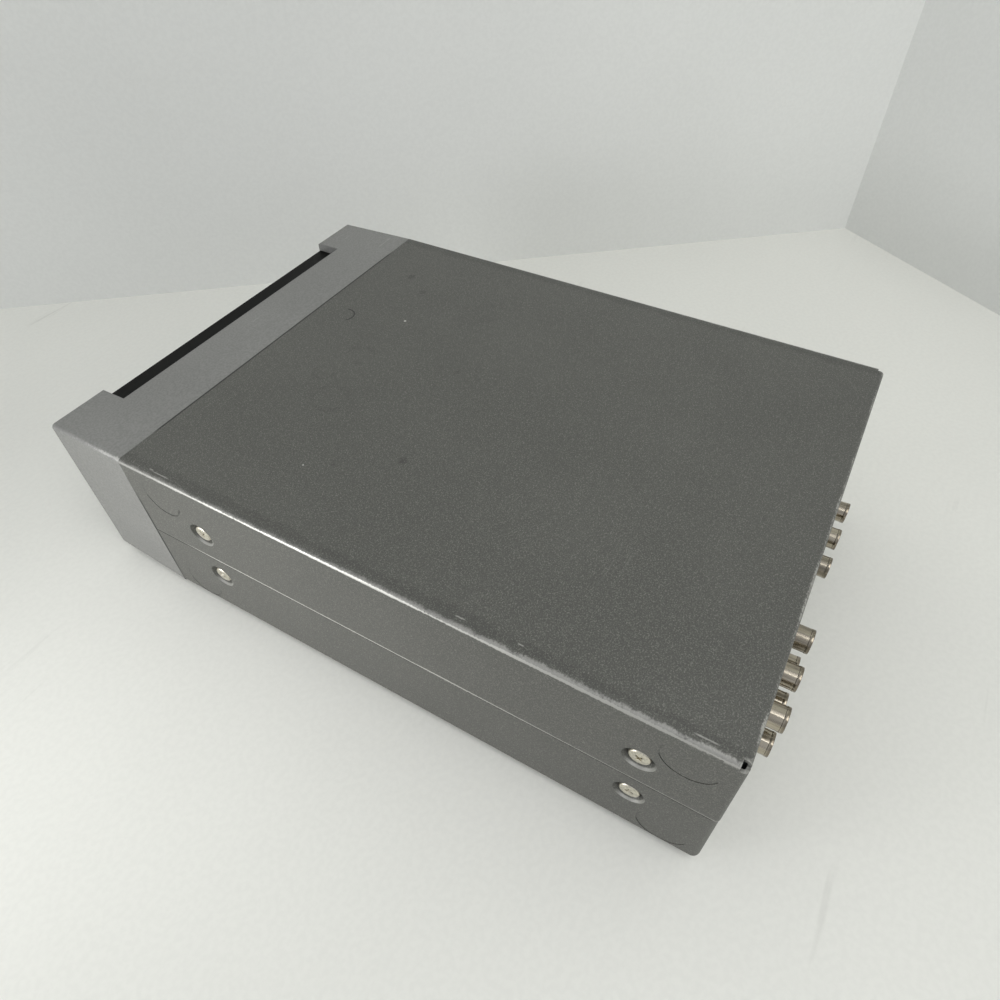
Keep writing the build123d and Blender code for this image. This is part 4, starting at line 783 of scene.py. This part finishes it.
def makeWindow():
    look = windowLook
    material, shader, place = startMaterial("window_smoke", 0.08)
    shader.inputs["Transmission Weight"].default_value = 1.0
    shader.inputs["IOR"].default_value = look["index"]
    smoke = grainMask(place, *look["smoke"])
    feed(shader, shaded(look["tint"], smoke))
    rough = calc("ADD", dustMask(place, *look["dust"]), look["gloss"])
    feed(shader, rough, "Roughness")
    return material


# Lit display digits
glowLook = {"colour": paint(120, 232, 214), "grain": (900.0, 0.85, 1.1), "strength": 2.4}


def makeGlow():
    look = glowLook
    material, shader, place = startMaterial("display_glow", 0.5)
    lit = shaded(look["colour"], grainMask(place, *look["grain"]))
    feed(shader, lit)
    feed(shader, lit, "Emission Color")
    shader.inputs["Emission Strength"].default_value = look["strength"]
    return material


materials = {name: makeFinish(name) for name in finishes}
materials.update({name: makeTurned(name) for name in turned})
materials["cover_paint"] = makeCoverPaint()
materials["bezel_plastic"] = makeBezelPlastic()
materials["jack_nickel"] = makeNickel()
materials["jack_colours"] = makeInserts()
materials["board_green"] = makeBoard()
materials["window_smoke"] = makeWindow()
materials["display_glow"] = makeGlow()
print("materials built:", len(materials))

# Every CAD node takes the finish of its slot
for part in frame["record"]["subparts"]:
    partObject = nodes[part["node"]]
    for materialSlot in partObject.material_slots:
        materialSlot.material = materials[part["material_slot"]]
    if not partObject.material_slots:
        partObject.data.materials.append(materials[part["material_slot"]])
print("finishes given to the nodes")


# Modelling helpers
def editMode():
    bpy.ops.object.mode_set(mode="EDIT")


def objectMode():
    bpy.ops.object.mode_set(mode="OBJECT")


def clearSelection():
    if bpy.context.mode != "OBJECT":
        objectMode()
    bpy.ops.object.select_all(action="DESELECT")


def nameNew(name):
    piece = bpy.context.active_object
    piece.name = name
    piece.data.name = name
    return piece


def openPiece(piece):
    clearSelection()
    piece.select_set(True)
    bpy.context.view_layer.objects.active = piece


def turnOutwards(piece):
    openPiece(piece)
    editMode()
    bpy.ops.mesh.select_all(action="SELECT")
    bpy.ops.mesh.normals_make_consistent(inside=False)
    objectMode()


def clearPicks(piece, kind):
    openPiece(piece)
    editMode()
    bpy.ops.mesh.select_mode(type=kind)
    bpy.ops.mesh.select_all(action="DESELECT")
    objectMode()


# Opens a piece for editing with only the faces or edges that pass the test selected
def pickFaces(piece, test):
    clearPicks(piece, "FACE")
    for face in piece.data.polygons:
        face.select = test(face)
    editMode()


def pickEdges(piece, test):
    clearPicks(piece, "EDGE")
    spots = piece.data.vertices
    for edge in piece.data.edges:
        edge.select = test(spots[edge.vertices[0]].co, spots[edge.vertices[1]].co)
    editMode()


def applyModifier(piece, kind, **settings):
    openPiece(piece)
    modifier = piece.modifiers.new(kind.lower(), kind)
    for key, value in settings.items():
        setattr(modifier, key, value)
    bpy.ops.object.modifier_apply(modifier=modifier.name)


def addRod(name, radius, low, high, sides=48, ends="NGON"):
    clearSelection()
    bpy.ops.mesh.primitive_cylinder_add(
        vertices=sides,
        radius=radius,
        depth=high - low,
        location=(0, 0, (low + high) / 2),
        end_fill_type=ends,
    )
    piece = nameNew(name)
    bpy.ops.object.transform_apply(location=True, rotation=True, scale=True)
    return piece


def raiseFace(height):
    bpy.ops.mesh.extrude_region_move(TRANSFORM_OT_translate={"value": (0, 0, height)})


def addPlate(name, width, depth, height, rounding=0.0):
    clearSelection()
    bpy.ops.mesh.primitive_plane_add(size=1)
    piece = nameNew(name)
    editMode()
    bpy.ops.transform.resize(value=(width, depth, 1))
    if rounding:
        bpy.ops.mesh.bevel(offset=rounding, segments=4, affect="VERTICES")
        bpy.ops.mesh.select_all(action="SELECT")
    raiseFace(height)
    objectMode()
    return piece


def addPrism(name, sides, radius, height, turn=0.0):
    clearSelection()
    bpy.ops.mesh.primitive_circle_add(vertices=sides, radius=radius, fill_type="NGON")
    piece = nameNew(name)
    editMode()
    raiseFace(height)
    objectMode()
    piece.data.transform(Matrix.Rotation(turn, 4, "Z"))
    return piece


# One piece from copies of a source, which is dropped
def spread(source, places, name):
    copies = []
    for place in places:
        piece = source.copy()
        piece.data = source.data.copy()
        piece.data.transform(place)
        scene.collection.objects.link(piece)
        copies.append(piece)
    dropPiece(source)
    return joinPieces(copies, name)


def joinPieces(pieceList, name):
    clearSelection()
    for piece in pieceList:
        piece.select_set(True)
    bpy.context.view_layer.objects.active = pieceList[0]
    if len(pieceList) > 1:
        bpy.ops.object.join()
    return nameNew(name)


def dropPiece(piece):
    mesh = piece.data
    bpy.data.objects.remove(piece)
    bpy.data.meshes.remove(mesh)


# Closes a piece: normals, shading, material (the slot's finish unless another is named) and the body it
# rides
def finishPiece(piece, body, slotName, materialName=None, smooth=35):
    turnOutwards(piece)
    bpy.ops.object.shade_smooth_by_angle(angle=math.radians(smooth))
    piece.data.materials.clear()
    piece.data.materials.append(materials[materialName or slotName])
    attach(piece, body)
    return piece


# Turns a shape's +Z towards a direction and moves it to a point
def facing(direction, point, spin=0.0):
    turn = Vector(direction).to_track_quat("Z", "Y").to_matrix().to_4x4()
    return Matrix.Translation(Vector(point)) @ turn @ Matrix.Rotation(spin, 4, "Z")


# Middle of a node's front face
def frontMiddle(name):
    low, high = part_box(name)
    return (low.x + high.x) / 2, low.y, (low.z + high.z) / 2


# Screws: pan head with a rounded crown, a tapered cross recess and a shank
caseScrewLook = {
    "headRadius": 0.0034,
    "headHeight": 0.0016,
    "crown": 0.0008,
    "crossLength": 0.0038,
    "crossWidth": 0.00085,
    "crossDepth": 0.0011,
    "shankRadius": 0.0015,
    "shankLength": 0.006,
}
crossTaper = (0.5, 0.6, 1)


def modelScrew(name, look):
    screw = addRod(name, look["headRadius"], 0, look["headHeight"])
    top = look["headHeight"]
    nearTop = top * 0.99
    pickEdges(screw, lambda a, b: min(a.z, b.z) > nearTop)
    bpy.ops.mesh.bevel(offset=look["crown"], segments=5, affect="EDGES")
    pickFaces(screw, lambda face: face.normal.z < -0.9)
    bpy.ops.mesh.inset(thickness=look["headRadius"] - look["shankRadius"])
    raiseFace(-look["shankLength"])
    objectMode()
    crossFloor = Matrix.Translation((0, 0, top - look["crossDepth"]))
    nearFloor = look["crossDepth"] * 0.01
    wings = []
    for turn in (0, math.pi / 2):
        wing = addPlate("wing", look["crossLength"], look["crossWidth"], look["crossDepth"] * 2)
        pickFaces(wing, lambda face: face.center.z < nearFloor)
        bpy.ops.transform.resize(value=crossTaper)
        objectMode()
        wing.data.transform(crossFloor @ Matrix.Rotation(turn, 4, "Z"))
        wings.append(wing)
    for wing in wings:
        turnOutwards(wing)
        applyModifier(screw, "BOOLEAN", operation="DIFFERENCE", object=wing, solver="EXACT")
        dropPiece(wing)
    return screw


def placeScrews(name, look, places):
    return finishPiece(spread(modelScrew("screw", look), places, name), "case", "screw_steel")


def placeCaseScrews():
    dice = random.Random(7)
    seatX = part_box("case_screws")[1].x - caseScrewLook["headHeight"]
    places = []
    for side in (-1, 1):
        for y in screwSetbacks:
            for z in screwRises:
                spin = dice.uniform(0, math.pi / 2)
                places.append(facing((side, 0, 0), (side * seatX, y, z), spin))
    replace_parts(placeScrews("case_screw_heads", caseScrewLook, places), "case_screws")


placeCaseScrews()
print("case screws placed")

# Screws in the dimples of the feet, and on the rear panel between the sockets
footScrewLook = {
    "headRadius": 0.0024,
    "headHeight": 0.0009,
    "crown": 0.0004,
    "crossLength": 0.0026,
    "crossWidth": 0.0007,
    "crossDepth": 0.0006,
    "shankRadius": 0.0012,
    "shankLength": 0.001,
}
rearScrewLook = {
    **footScrewLook,
    "headRadius": 0.0022,
    "crossLength": 0.0024,
    "crossWidth": 0.0006,
    "shankRadius": 0.001,
    "shankLength": 0.0012,
}
rearScrewRows = {
    0.0313: (0.0288, 0.0441, -0.0516, -0.0357, 0.0665, -0.0745),
    0.0560: (-0.0745, 0.0745, 0.0),
}
rearScrewTurn = 0.7
footRadius = 0.008
footDimple = 0.0012
footScrewTurn = 40


def placeSmallScrews():
    low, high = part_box("rubber_feet")
    seat = low.z + footDimple
    places = []
    for x in (low.x + footRadius, high.x - footRadius):
        for y in (low.y + footRadius, high.y - footRadius):
            places.append(facing((0, 0, -1), (x, y, seat), x * footScrewTurn + y))
    placeScrews("foot_screws", footScrewLook, places)
    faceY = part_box("rear_panel")[1].y
    places = []
    for z, row in rearScrewRows.items():
        for x in row:
            places.append(facing((0, 1, 0), (x, faceY, z), len(places) * rearScrewTurn))
    placeScrews("rear_panel_screws", rearScrewLook, places)


placeSmallScrews()
print("small screws placed")

# Phono sockets: rolled lips at the ends of the shells and contact sleeves inside
jackLook = {
    "columns": (0.0211, 0.03645, 0.0518),
    "sideColumns": (-0.0596, -0.04365, -0.0277),
    "upperZ": 0.0398,
    "lowerZ": 0.0228,
    "lipRadius": 0.00424,
    "lipWall": 0.0007,
    "lipLength": 0.0013,
    "lipRounding": 0.00018,
    "contactRadius": 0.00162,
    "contactWall": 0.0003,
    "contactLength": 0.0085,
    "contactRounding": 0.00008,
    "contactReach": 0.0003,
}


def modelRing(name, radius, wall, length, rounding):
    ring = addRod(name, radius, -length, 0, sides=56, ends="NOTHING")
    applyModifier(ring, "SOLIDIFY", thickness=wall, offset=-1.0)
    applyModifier(ring, "BEVEL", width=rounding, segments=3, limit_method="ANGLE")
    return ring


def placeJackRings(name, part, endY):
    look = jackLook
    sizes = [look[part + size] for size in ("Radius", "Wall", "Length", "Rounding")]
    spots = [(x, z) for x in look["columns"] for z in (look["upperZ"], look["lowerZ"])]
    spots += [(x, look["lowerZ"]) for x in look["sideColumns"]]
    places = [facing((0, 1, 0), (x, endY, z)) for x, z in spots]
    finishPiece(spread(modelRing(part, *sizes), places, name), "case", "jack_nickel")


def placeJackDetails():
    placeJackRings("jack_lips", "lip", cadBox[1].y)
    placeJackRings("jack_contacts", "contact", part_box("jack_inserts")[1].y + jackLook["contactReach"])


placeJackDetails()
print("phono sockets detailed")

# Printed lines on the rear panel round each group of sockets
rearPrintLook = {
    "line": 0.0004,
    "height": 0.00006,
    "rounding": 0.0015,
    "groups": (
        (0.0125, 0.0600, 0.0160, 0.0470),
        (-0.0030, 0.0115, 0.0160, 0.0470),
        (-0.0675, -0.0200, 0.0160, 0.0288),
        (-0.0215, -0.0045, 0.0340, 0.0470),
        (-0.0455, -0.0230, 0.0340, 0.0470),
        (-0.0675, -0.0475, 0.0340, 0.0470),
    ),
}


def printedFrame(x0, x1, z0, z1, faceY, look):
    clearSelection()
    bpy.ops.mesh.primitive_plane_add(size=1)
    outline = nameNew("print_line")
    editMode()
    bpy.ops.transform.resize(value=(x1 - x0, z1 - z0, 1))
    bpy.ops.mesh.bevel(offset=look["rounding"], segments=4, affect="VERTICES")
    bpy.ops.mesh.select_mode(type="FACE")
    bpy.ops.mesh.select_all(action="SELECT")
    bpy.ops.mesh.inset(thickness=look["line"])
    bpy.ops.mesh.delete(type="FACE")
    bpy.ops.mesh.select_all(action="SELECT")
    raiseFace(look["height"])
    objectMode()
    outline.data.transform(facing((0, 1, 0), ((x0 + x1) / 2, faceY, (z0 + z1) / 2)))
    return outline


def placeRearPrint():
    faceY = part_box("rear_panel")[1].y
    outlines = [printedFrame(*group, faceY, rearPrintLook) for group in rearPrintLook["groups"]]
    finishPiece(joinPieces(outlines, "rear_print"), "case", "rear_paint", "white_print")


placeRearPrint()
print("rear print placed")

# Symbols on the buttons: plain pictograms, each riding its own button, with sizes as shares of one size
symbolLook = {
    "height": 0.00006,
    "size": 0.0021,
    "arrows": {
        "play": (0.0, (0.0,)),
        "fast_forward": (0.0, (-0.44, 0.44)),
        "rewind": (math.pi, (-0.44, 0.44)),
        "eject": (math.pi / 2, (0.0,)),
    },
    "arrowRadius": 0.55,
    "ejectLift": 0.25,
    "ejectBar": (0.95, 0.2, -0.28),
    "stopSide": 0.8,
    "pauseBar": (0.25, 0.85),
    "recordRadius": 0.45,
    "powerRing": (0.55, 0.13),
    "powerBar": (0.14, 0.6, 0.42),
}


def shiftedBar(look, width, depth, x, y):
    size = look["size"]
    bar = addPlate("bar", size * width, size * depth, look["height"])
    bar.data.transform(Matrix.Translation((size * x, size * y, 0)))
    return bar


def symbolShapes(kind, look):
    size, height = look["size"], look["height"]
    shapes = []
    if kind in look["arrows"]:
        turn, steps = look["arrows"][kind]
        for step in steps:
            triangle = addPrism("triangle", 3, size * look["arrowRadius"], height, turn - math.pi / 2)
            lift = size * look["ejectLift"] if kind == "eject" else 0.0
            triangle.data.transform(Matrix.Translation((size * step, lift, 0)))
            shapes.append(triangle)
    if kind == "eject":
        width, depth, y = look["ejectBar"]
        shapes.append(shiftedBar(look, width, depth, 0, y))
    if kind == "stop":
        shapes.append(shiftedBar(look, look["stopSide"], look["stopSide"], 0, 0))
    if kind == "pause":
        width, depth = look["pauseBar"]
        shapes += [shiftedBar(look, width, depth, x, 0) for x in (-width, width)]
    if kind == "record":
        shapes.append(addPrism("disc", 32, size * look["recordRadius"], height))
    if kind == "power":
        radius, wall = look["powerRing"]
        ring = addRod("ring", size * radius, 0, height, sides=40, ends="NOTHING")
        applyModifier(ring, "SOLIDIFY", thickness=size * wall, offset=-1.0)
        width, depth, y = look["powerBar"]
        shapes += [ring, shiftedBar(look, width, depth, 0, y)]
    return shapes


def placeSymbols():
    for kind in ("power", "eject", "rewind", "play", "fast_forward", "stop", "pause", "record"):
        place = facing((0, -1, 0), frontMiddle(kind + "_button"))
        shapes = symbolShapes(kind, symbolLook)
        for shape in shapes:
            shape.data.transform(place)
        symbol = joinPieces(shapes, kind + "_symbol")
        finishPiece(symbol, kind + "_button", "key_plastic", "white_print")


placeSymbols()
print("button symbols placed")

# Digits of the display: a counter made of seven-part figures
digitLook = {
    "text": "0:12:34",
    "height": 0.0062,
    "width": 0.0034,
    "step": 0.0056,
    "bar": 0.00072,
    "barShare": 0.86,
    "dot": 0.000936,
    "rise": 0.00004,
}
barsLit = {"0": "abcdef", "1": "bc", "2": "abged", "3": "abgcd", "4": "fgbc"}


def placeDigits():
    look = digitLook
    source = addPrism("bar_source", 6, 0.5, look["rise"])
    halfWidth, halfHeight = look["width"] / 2, look["height"] / 2
    tall = (look["bar"], halfHeight * look["barShare"])
    flat = (look["width"] * look["barShare"], look["bar"])
    bars = {
        "a": (0, halfHeight, flat),
        "b": (halfWidth, halfHeight / 2, tall),
        "c": (halfWidth, -halfHeight / 2, tall),
        "d": (0, -halfHeight, flat),
        "e": (-halfWidth, -halfHeight / 2, tall),
        "f": (-halfWidth, halfHeight / 2, tall),
        "g": (0, 0, flat),
    }
    dots = [(0, y, (look["dot"], look["dot"])) for y in (-halfHeight / 3, halfHeight / 3)]
    face = facing((0, -1, 0), frontMiddle("display_module"))
    start = -look["step"] * (len(look["text"]) - 1) / 2
    places = []
    for index, figure in enumerate(look["text"]):
        shapes = dots if figure == ":" else [bars[letter] for letter in barsLit[figure]]
        for x, y, (width, height) in shapes:
            spot = Matrix.Translation((start + index * look["step"] + x, y, 0))
            places.append(face @ spot @ Matrix.Diagonal((width, height, 1, 1)))
    finishPiece(spread(source, places, "display_digits"), "case", "display_glass", "display_glow")


placeDigits()
print("display digits placed")

# Knobs: ribbed grips with a dished face and a white pointer, in place of the plain ones
knobNames = ("left_level_knob", "right_level_knob", "phones_level_knob")
knobLook = {
    "ribs": 30,
    "ribHeight": 0.00022,
    "ribRise": 0.000176,
    "ribInset": 0.00006,
    "length": 0.0046,
    "shaftRadius": 0.0015,
    "dish": 0.0004,
    "rim": 0.0007,
    "pointerWidth": 0.0006,
    "pointerLength": 0.7,
    "pointerHeight": 0.0001,
}


def ribFace(face):
    if abs(face.normal.z) > 0.1:
        return False
    sides = knobLook["ribs"] * 2
    turns = math.atan2(face.center.y, face.center.x) / math.tau
    return int(turns * sides + sides) % 2 == 0


def placeKnobs():
    look = knobLook
    for name in knobNames:
        low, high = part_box(name)
        x, y, z = frontMiddle(name)
        radius = (high.x - low.x) / 2
        core = radius - look["ribHeight"]
        knob = addRod(name + "_grip", core, -look["length"], 0, sides=look["ribs"] * 2)
        pickFaces(knob, ribFace)
        bpy.ops.mesh.inset(thickness=look["ribInset"], use_individual=True)
        bpy.ops.transform.shrink_fatten(value=look["ribRise"])
        pickFaces(knob, lambda face: face.normal.z > 0.9 and len(face.vertices) > 8)
        bpy.ops.mesh.inset(thickness=look["rim"])
        bpy.ops.transform.translate(value=(0, 0, -look["dish"]))
        bpy.ops.mesh.inset(thickness=look["dish"])
        pickFaces(knob, lambda face: face.normal.z < -0.9 and len(face.vertices) > 8)
        bpy.ops.mesh.inset(thickness=core - look["shaftRadius"])
        raiseFace(low.y + look["length"] - high.y)
        objectMode()
        knob.data.transform(facing((0, -1, 0), (x, y, z)))
        finishPiece(knob, name, "knob_plastic", smooth=25)
        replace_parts(knob, name)
        pointerLength = radius * look["pointerLength"]
        pointer = addPlate(name + "_pointer", look["pointerWidth"], pointerLength, look["pointerHeight"])
        spot = (x, y + look["dish"], z + pointerLength / 2)
        pointer.data.transform(facing((0, -1, 0), spot))
        finishPiece(pointer, name, "knob_plastic", "white_print")


placeKnobs()
print("knobs placed")

# Scale marks round each knob on the back of the recess
scaleLook = {
    "marks": 11,
    "sweep": math.radians(300),
    "inner": 0.0048,
    "length": 0.0010,
    "width": 0.0003,
    "height": 0.00005,
    "behindGrip": 0.0003,
}


def placeScales():
    look = scaleLook
    source = addPlate("mark_source", look["width"], look["length"], look["height"])
    source.data.transform(Matrix.Translation((0, look["inner"] + look["length"] / 2, 0)))
    places = []
    for name in knobNames:
        x, y, z = frontMiddle(name)
        middle = (x, y + knobLook["length"] + look["behindGrip"], z)
        for index in range(look["marks"]):
            turn = look["sweep"] * (index / (look["marks"] - 1) - 0.5)
            places.append(facing((0, -1, 0), middle, turn))
    finishPiece(spread(source, places, "level_scales"), "case", "panel_black", "white_print")


placeScales()
print("scale marks placed")

# Trim ring of the headphone socket, and the blank plate below the case
ringLook = {"radius": 0.0041, "wall": 0.0009, "length": 0.0009, "rounding": 0.0002}
plateLook = {"width": 0.062, "depth": 0.024, "thickness": 0.0003, "rounding": 0.0015, "y": 0.0935}


def placeTrim():
    x, _, z = frontMiddle("phones_socket")
    ring = modelRing("phones_ring", *ringLook.values())
    ring.data.transform(facing((0, -1, 0), (x, frontY, z)))
    finishPiece(ring, "case", "jack_nickel")
    look = plateLook
    plate = addPlate("blank_plate", look["width"], look["depth"], look["thickness"], look["rounding"])
    plate.data.transform(Matrix.Translation((0, look["y"], lowerLow.z - look["thickness"])))
    finishPiece(plate, "case", "cover_paint", "blank_plate")


placeTrim()
print("trim placed")

# Floor and walls: a corner of two walls behind the deck, given by points of the floor plane
stageLook = {
    "floor": paint(232, 232, 225),
    "floorRoughness": 0.45,
    "floorSmudges": 0.2,
    "wall": paint(230, 231, 227),
    "wallRoughness": 0.7,
    "wallSmudges": 0.0,
    "cloud": (6.0, 0.985, 1.01),
    "grain": (500.0, 0.985, 1.015),
    "smudge": paint(150, 148, 140),
    "smudgeScale": 8.0,
    "bump": (0.0002, 0.3),
    "wallCorner": (-0.3575, 0.0788),
    "wallLeft": (-0.0534, -0.3003),
    "wallRight": (-0.3423, 0.1016),
    "reach": 3.0,
    "height": 2.0,
}


def makeStageMaterial(name, kind):
    look = stageLook
    material, shader, place = startMaterial(name, look[kind + "Roughness"], 0.0, 0.3)
    grain = grainMask(place, *look["grain"])
    shade = product(grainMask(place, *look["cloud"]), grain)
    clean = shaded(look[kind], shade)
    smudge = scratchMask(place, look["smudgeScale"], look[kind + "Smudges"])
    feed(shader, mixColour(smudge, clean, look["smudge"]))
    addBump(shader, grain, *look["bump"])
    openBack(material)
    return material


# Floor and walls are clear from behind, so they never hide the deck
def openBack(material):
    tree = material.node_tree
    side = addNode("NewGeometry", {}, tree).outputs["Backfacing"]
    clear = addNode("BsdfTransparent", {}, tree).outputs[0]
    solid = tree.nodes["Principled BSDF"].outputs[0]
    both = addNode("MixShader", {0: side, 1: solid, 2: clear}).outputs[0]
    tree.links.new(both, tree.nodes["Material Output"].inputs["Surface"])


def placeStage():
    look = stageLook
    clearSelection()
    bpy.ops.mesh.primitive_plane_add(size=look["reach"] * 2)
    floor = nameNew("floor")
    floor.data.materials.append(makeStageMaterial("floor_white", "floor"))
    wallMaterial = makeStageMaterial("wall_grey", "wall")
    corner = Vector(look["wallCorner"] + (0.0,))
    ends = {}
    for side in ("wallLeft", "wallRight"):
        along = (Vector(look[side] + (0.0,)) - corner).normalized()
        ends[side] = corner + along * look["reach"]
    runs = {"wall_left": (ends["wallLeft"], corner), "wall_right": (corner, ends["wallRight"])}
    for name, run in runs.items():
        clearSelection()
        bpy.ops.mesh.primitive_plane_add(size=1)
        wall = nameNew(name)
        for vertex, spot, lift in zip(wall.data.vertices, run + run, (0, 0, 1, 1)):
            vertex.co = spot + Vector((0, 0, lift * look["height"]))
        wall.data.materials.append(wallMaterial)


placeStage()
print("stage placed")

# Lights: a broad one above, a low one at the front right and an even surround
lights = {
    "overhead": {
        "place": (0.22, 0.7, 1.0),
        "aim": (0.12, 0.22, 0.0),
        "size": 0.9,
        "spread": 180,
        "power": 8.3,
    },
    "frontRight": {
        "place": (0.34, -0.20, 0.09),
        "aim": (0.09, -0.03, 0.055),
        "size": 0.16,
        "spread": 75,
        "power": 0.138,
    },
}
surround = {"colour": (0.93, 0.95, 1.0, 1.0), "strength": 0.585}


def placeLights():
    for name, look in lights.items():
        lightData = bpy.data.lights.new(name, "AREA")
        lightData.size = look["size"]
        lightData.spread = math.radians(look["spread"])
        lightData.energy = look["power"]
        light = bpy.data.objects.new(name, lightData)
        light.location = look["place"]
        direction = Vector(look["aim"]) - Vector(look["place"])
        light.rotation_euler = direction.to_track_quat("-Z", "Y").to_euler()
        scene.collection.objects.link(light)
    world = bpy.data.worlds.new("surround")
    world.use_nodes = True
    background = world.node_tree.nodes["Background"]
    background.inputs["Color"].default_value = surround["colour"]
    background.inputs["Strength"].default_value = surround["strength"]
    scene.world = world


placeLights()
print("lights placed")
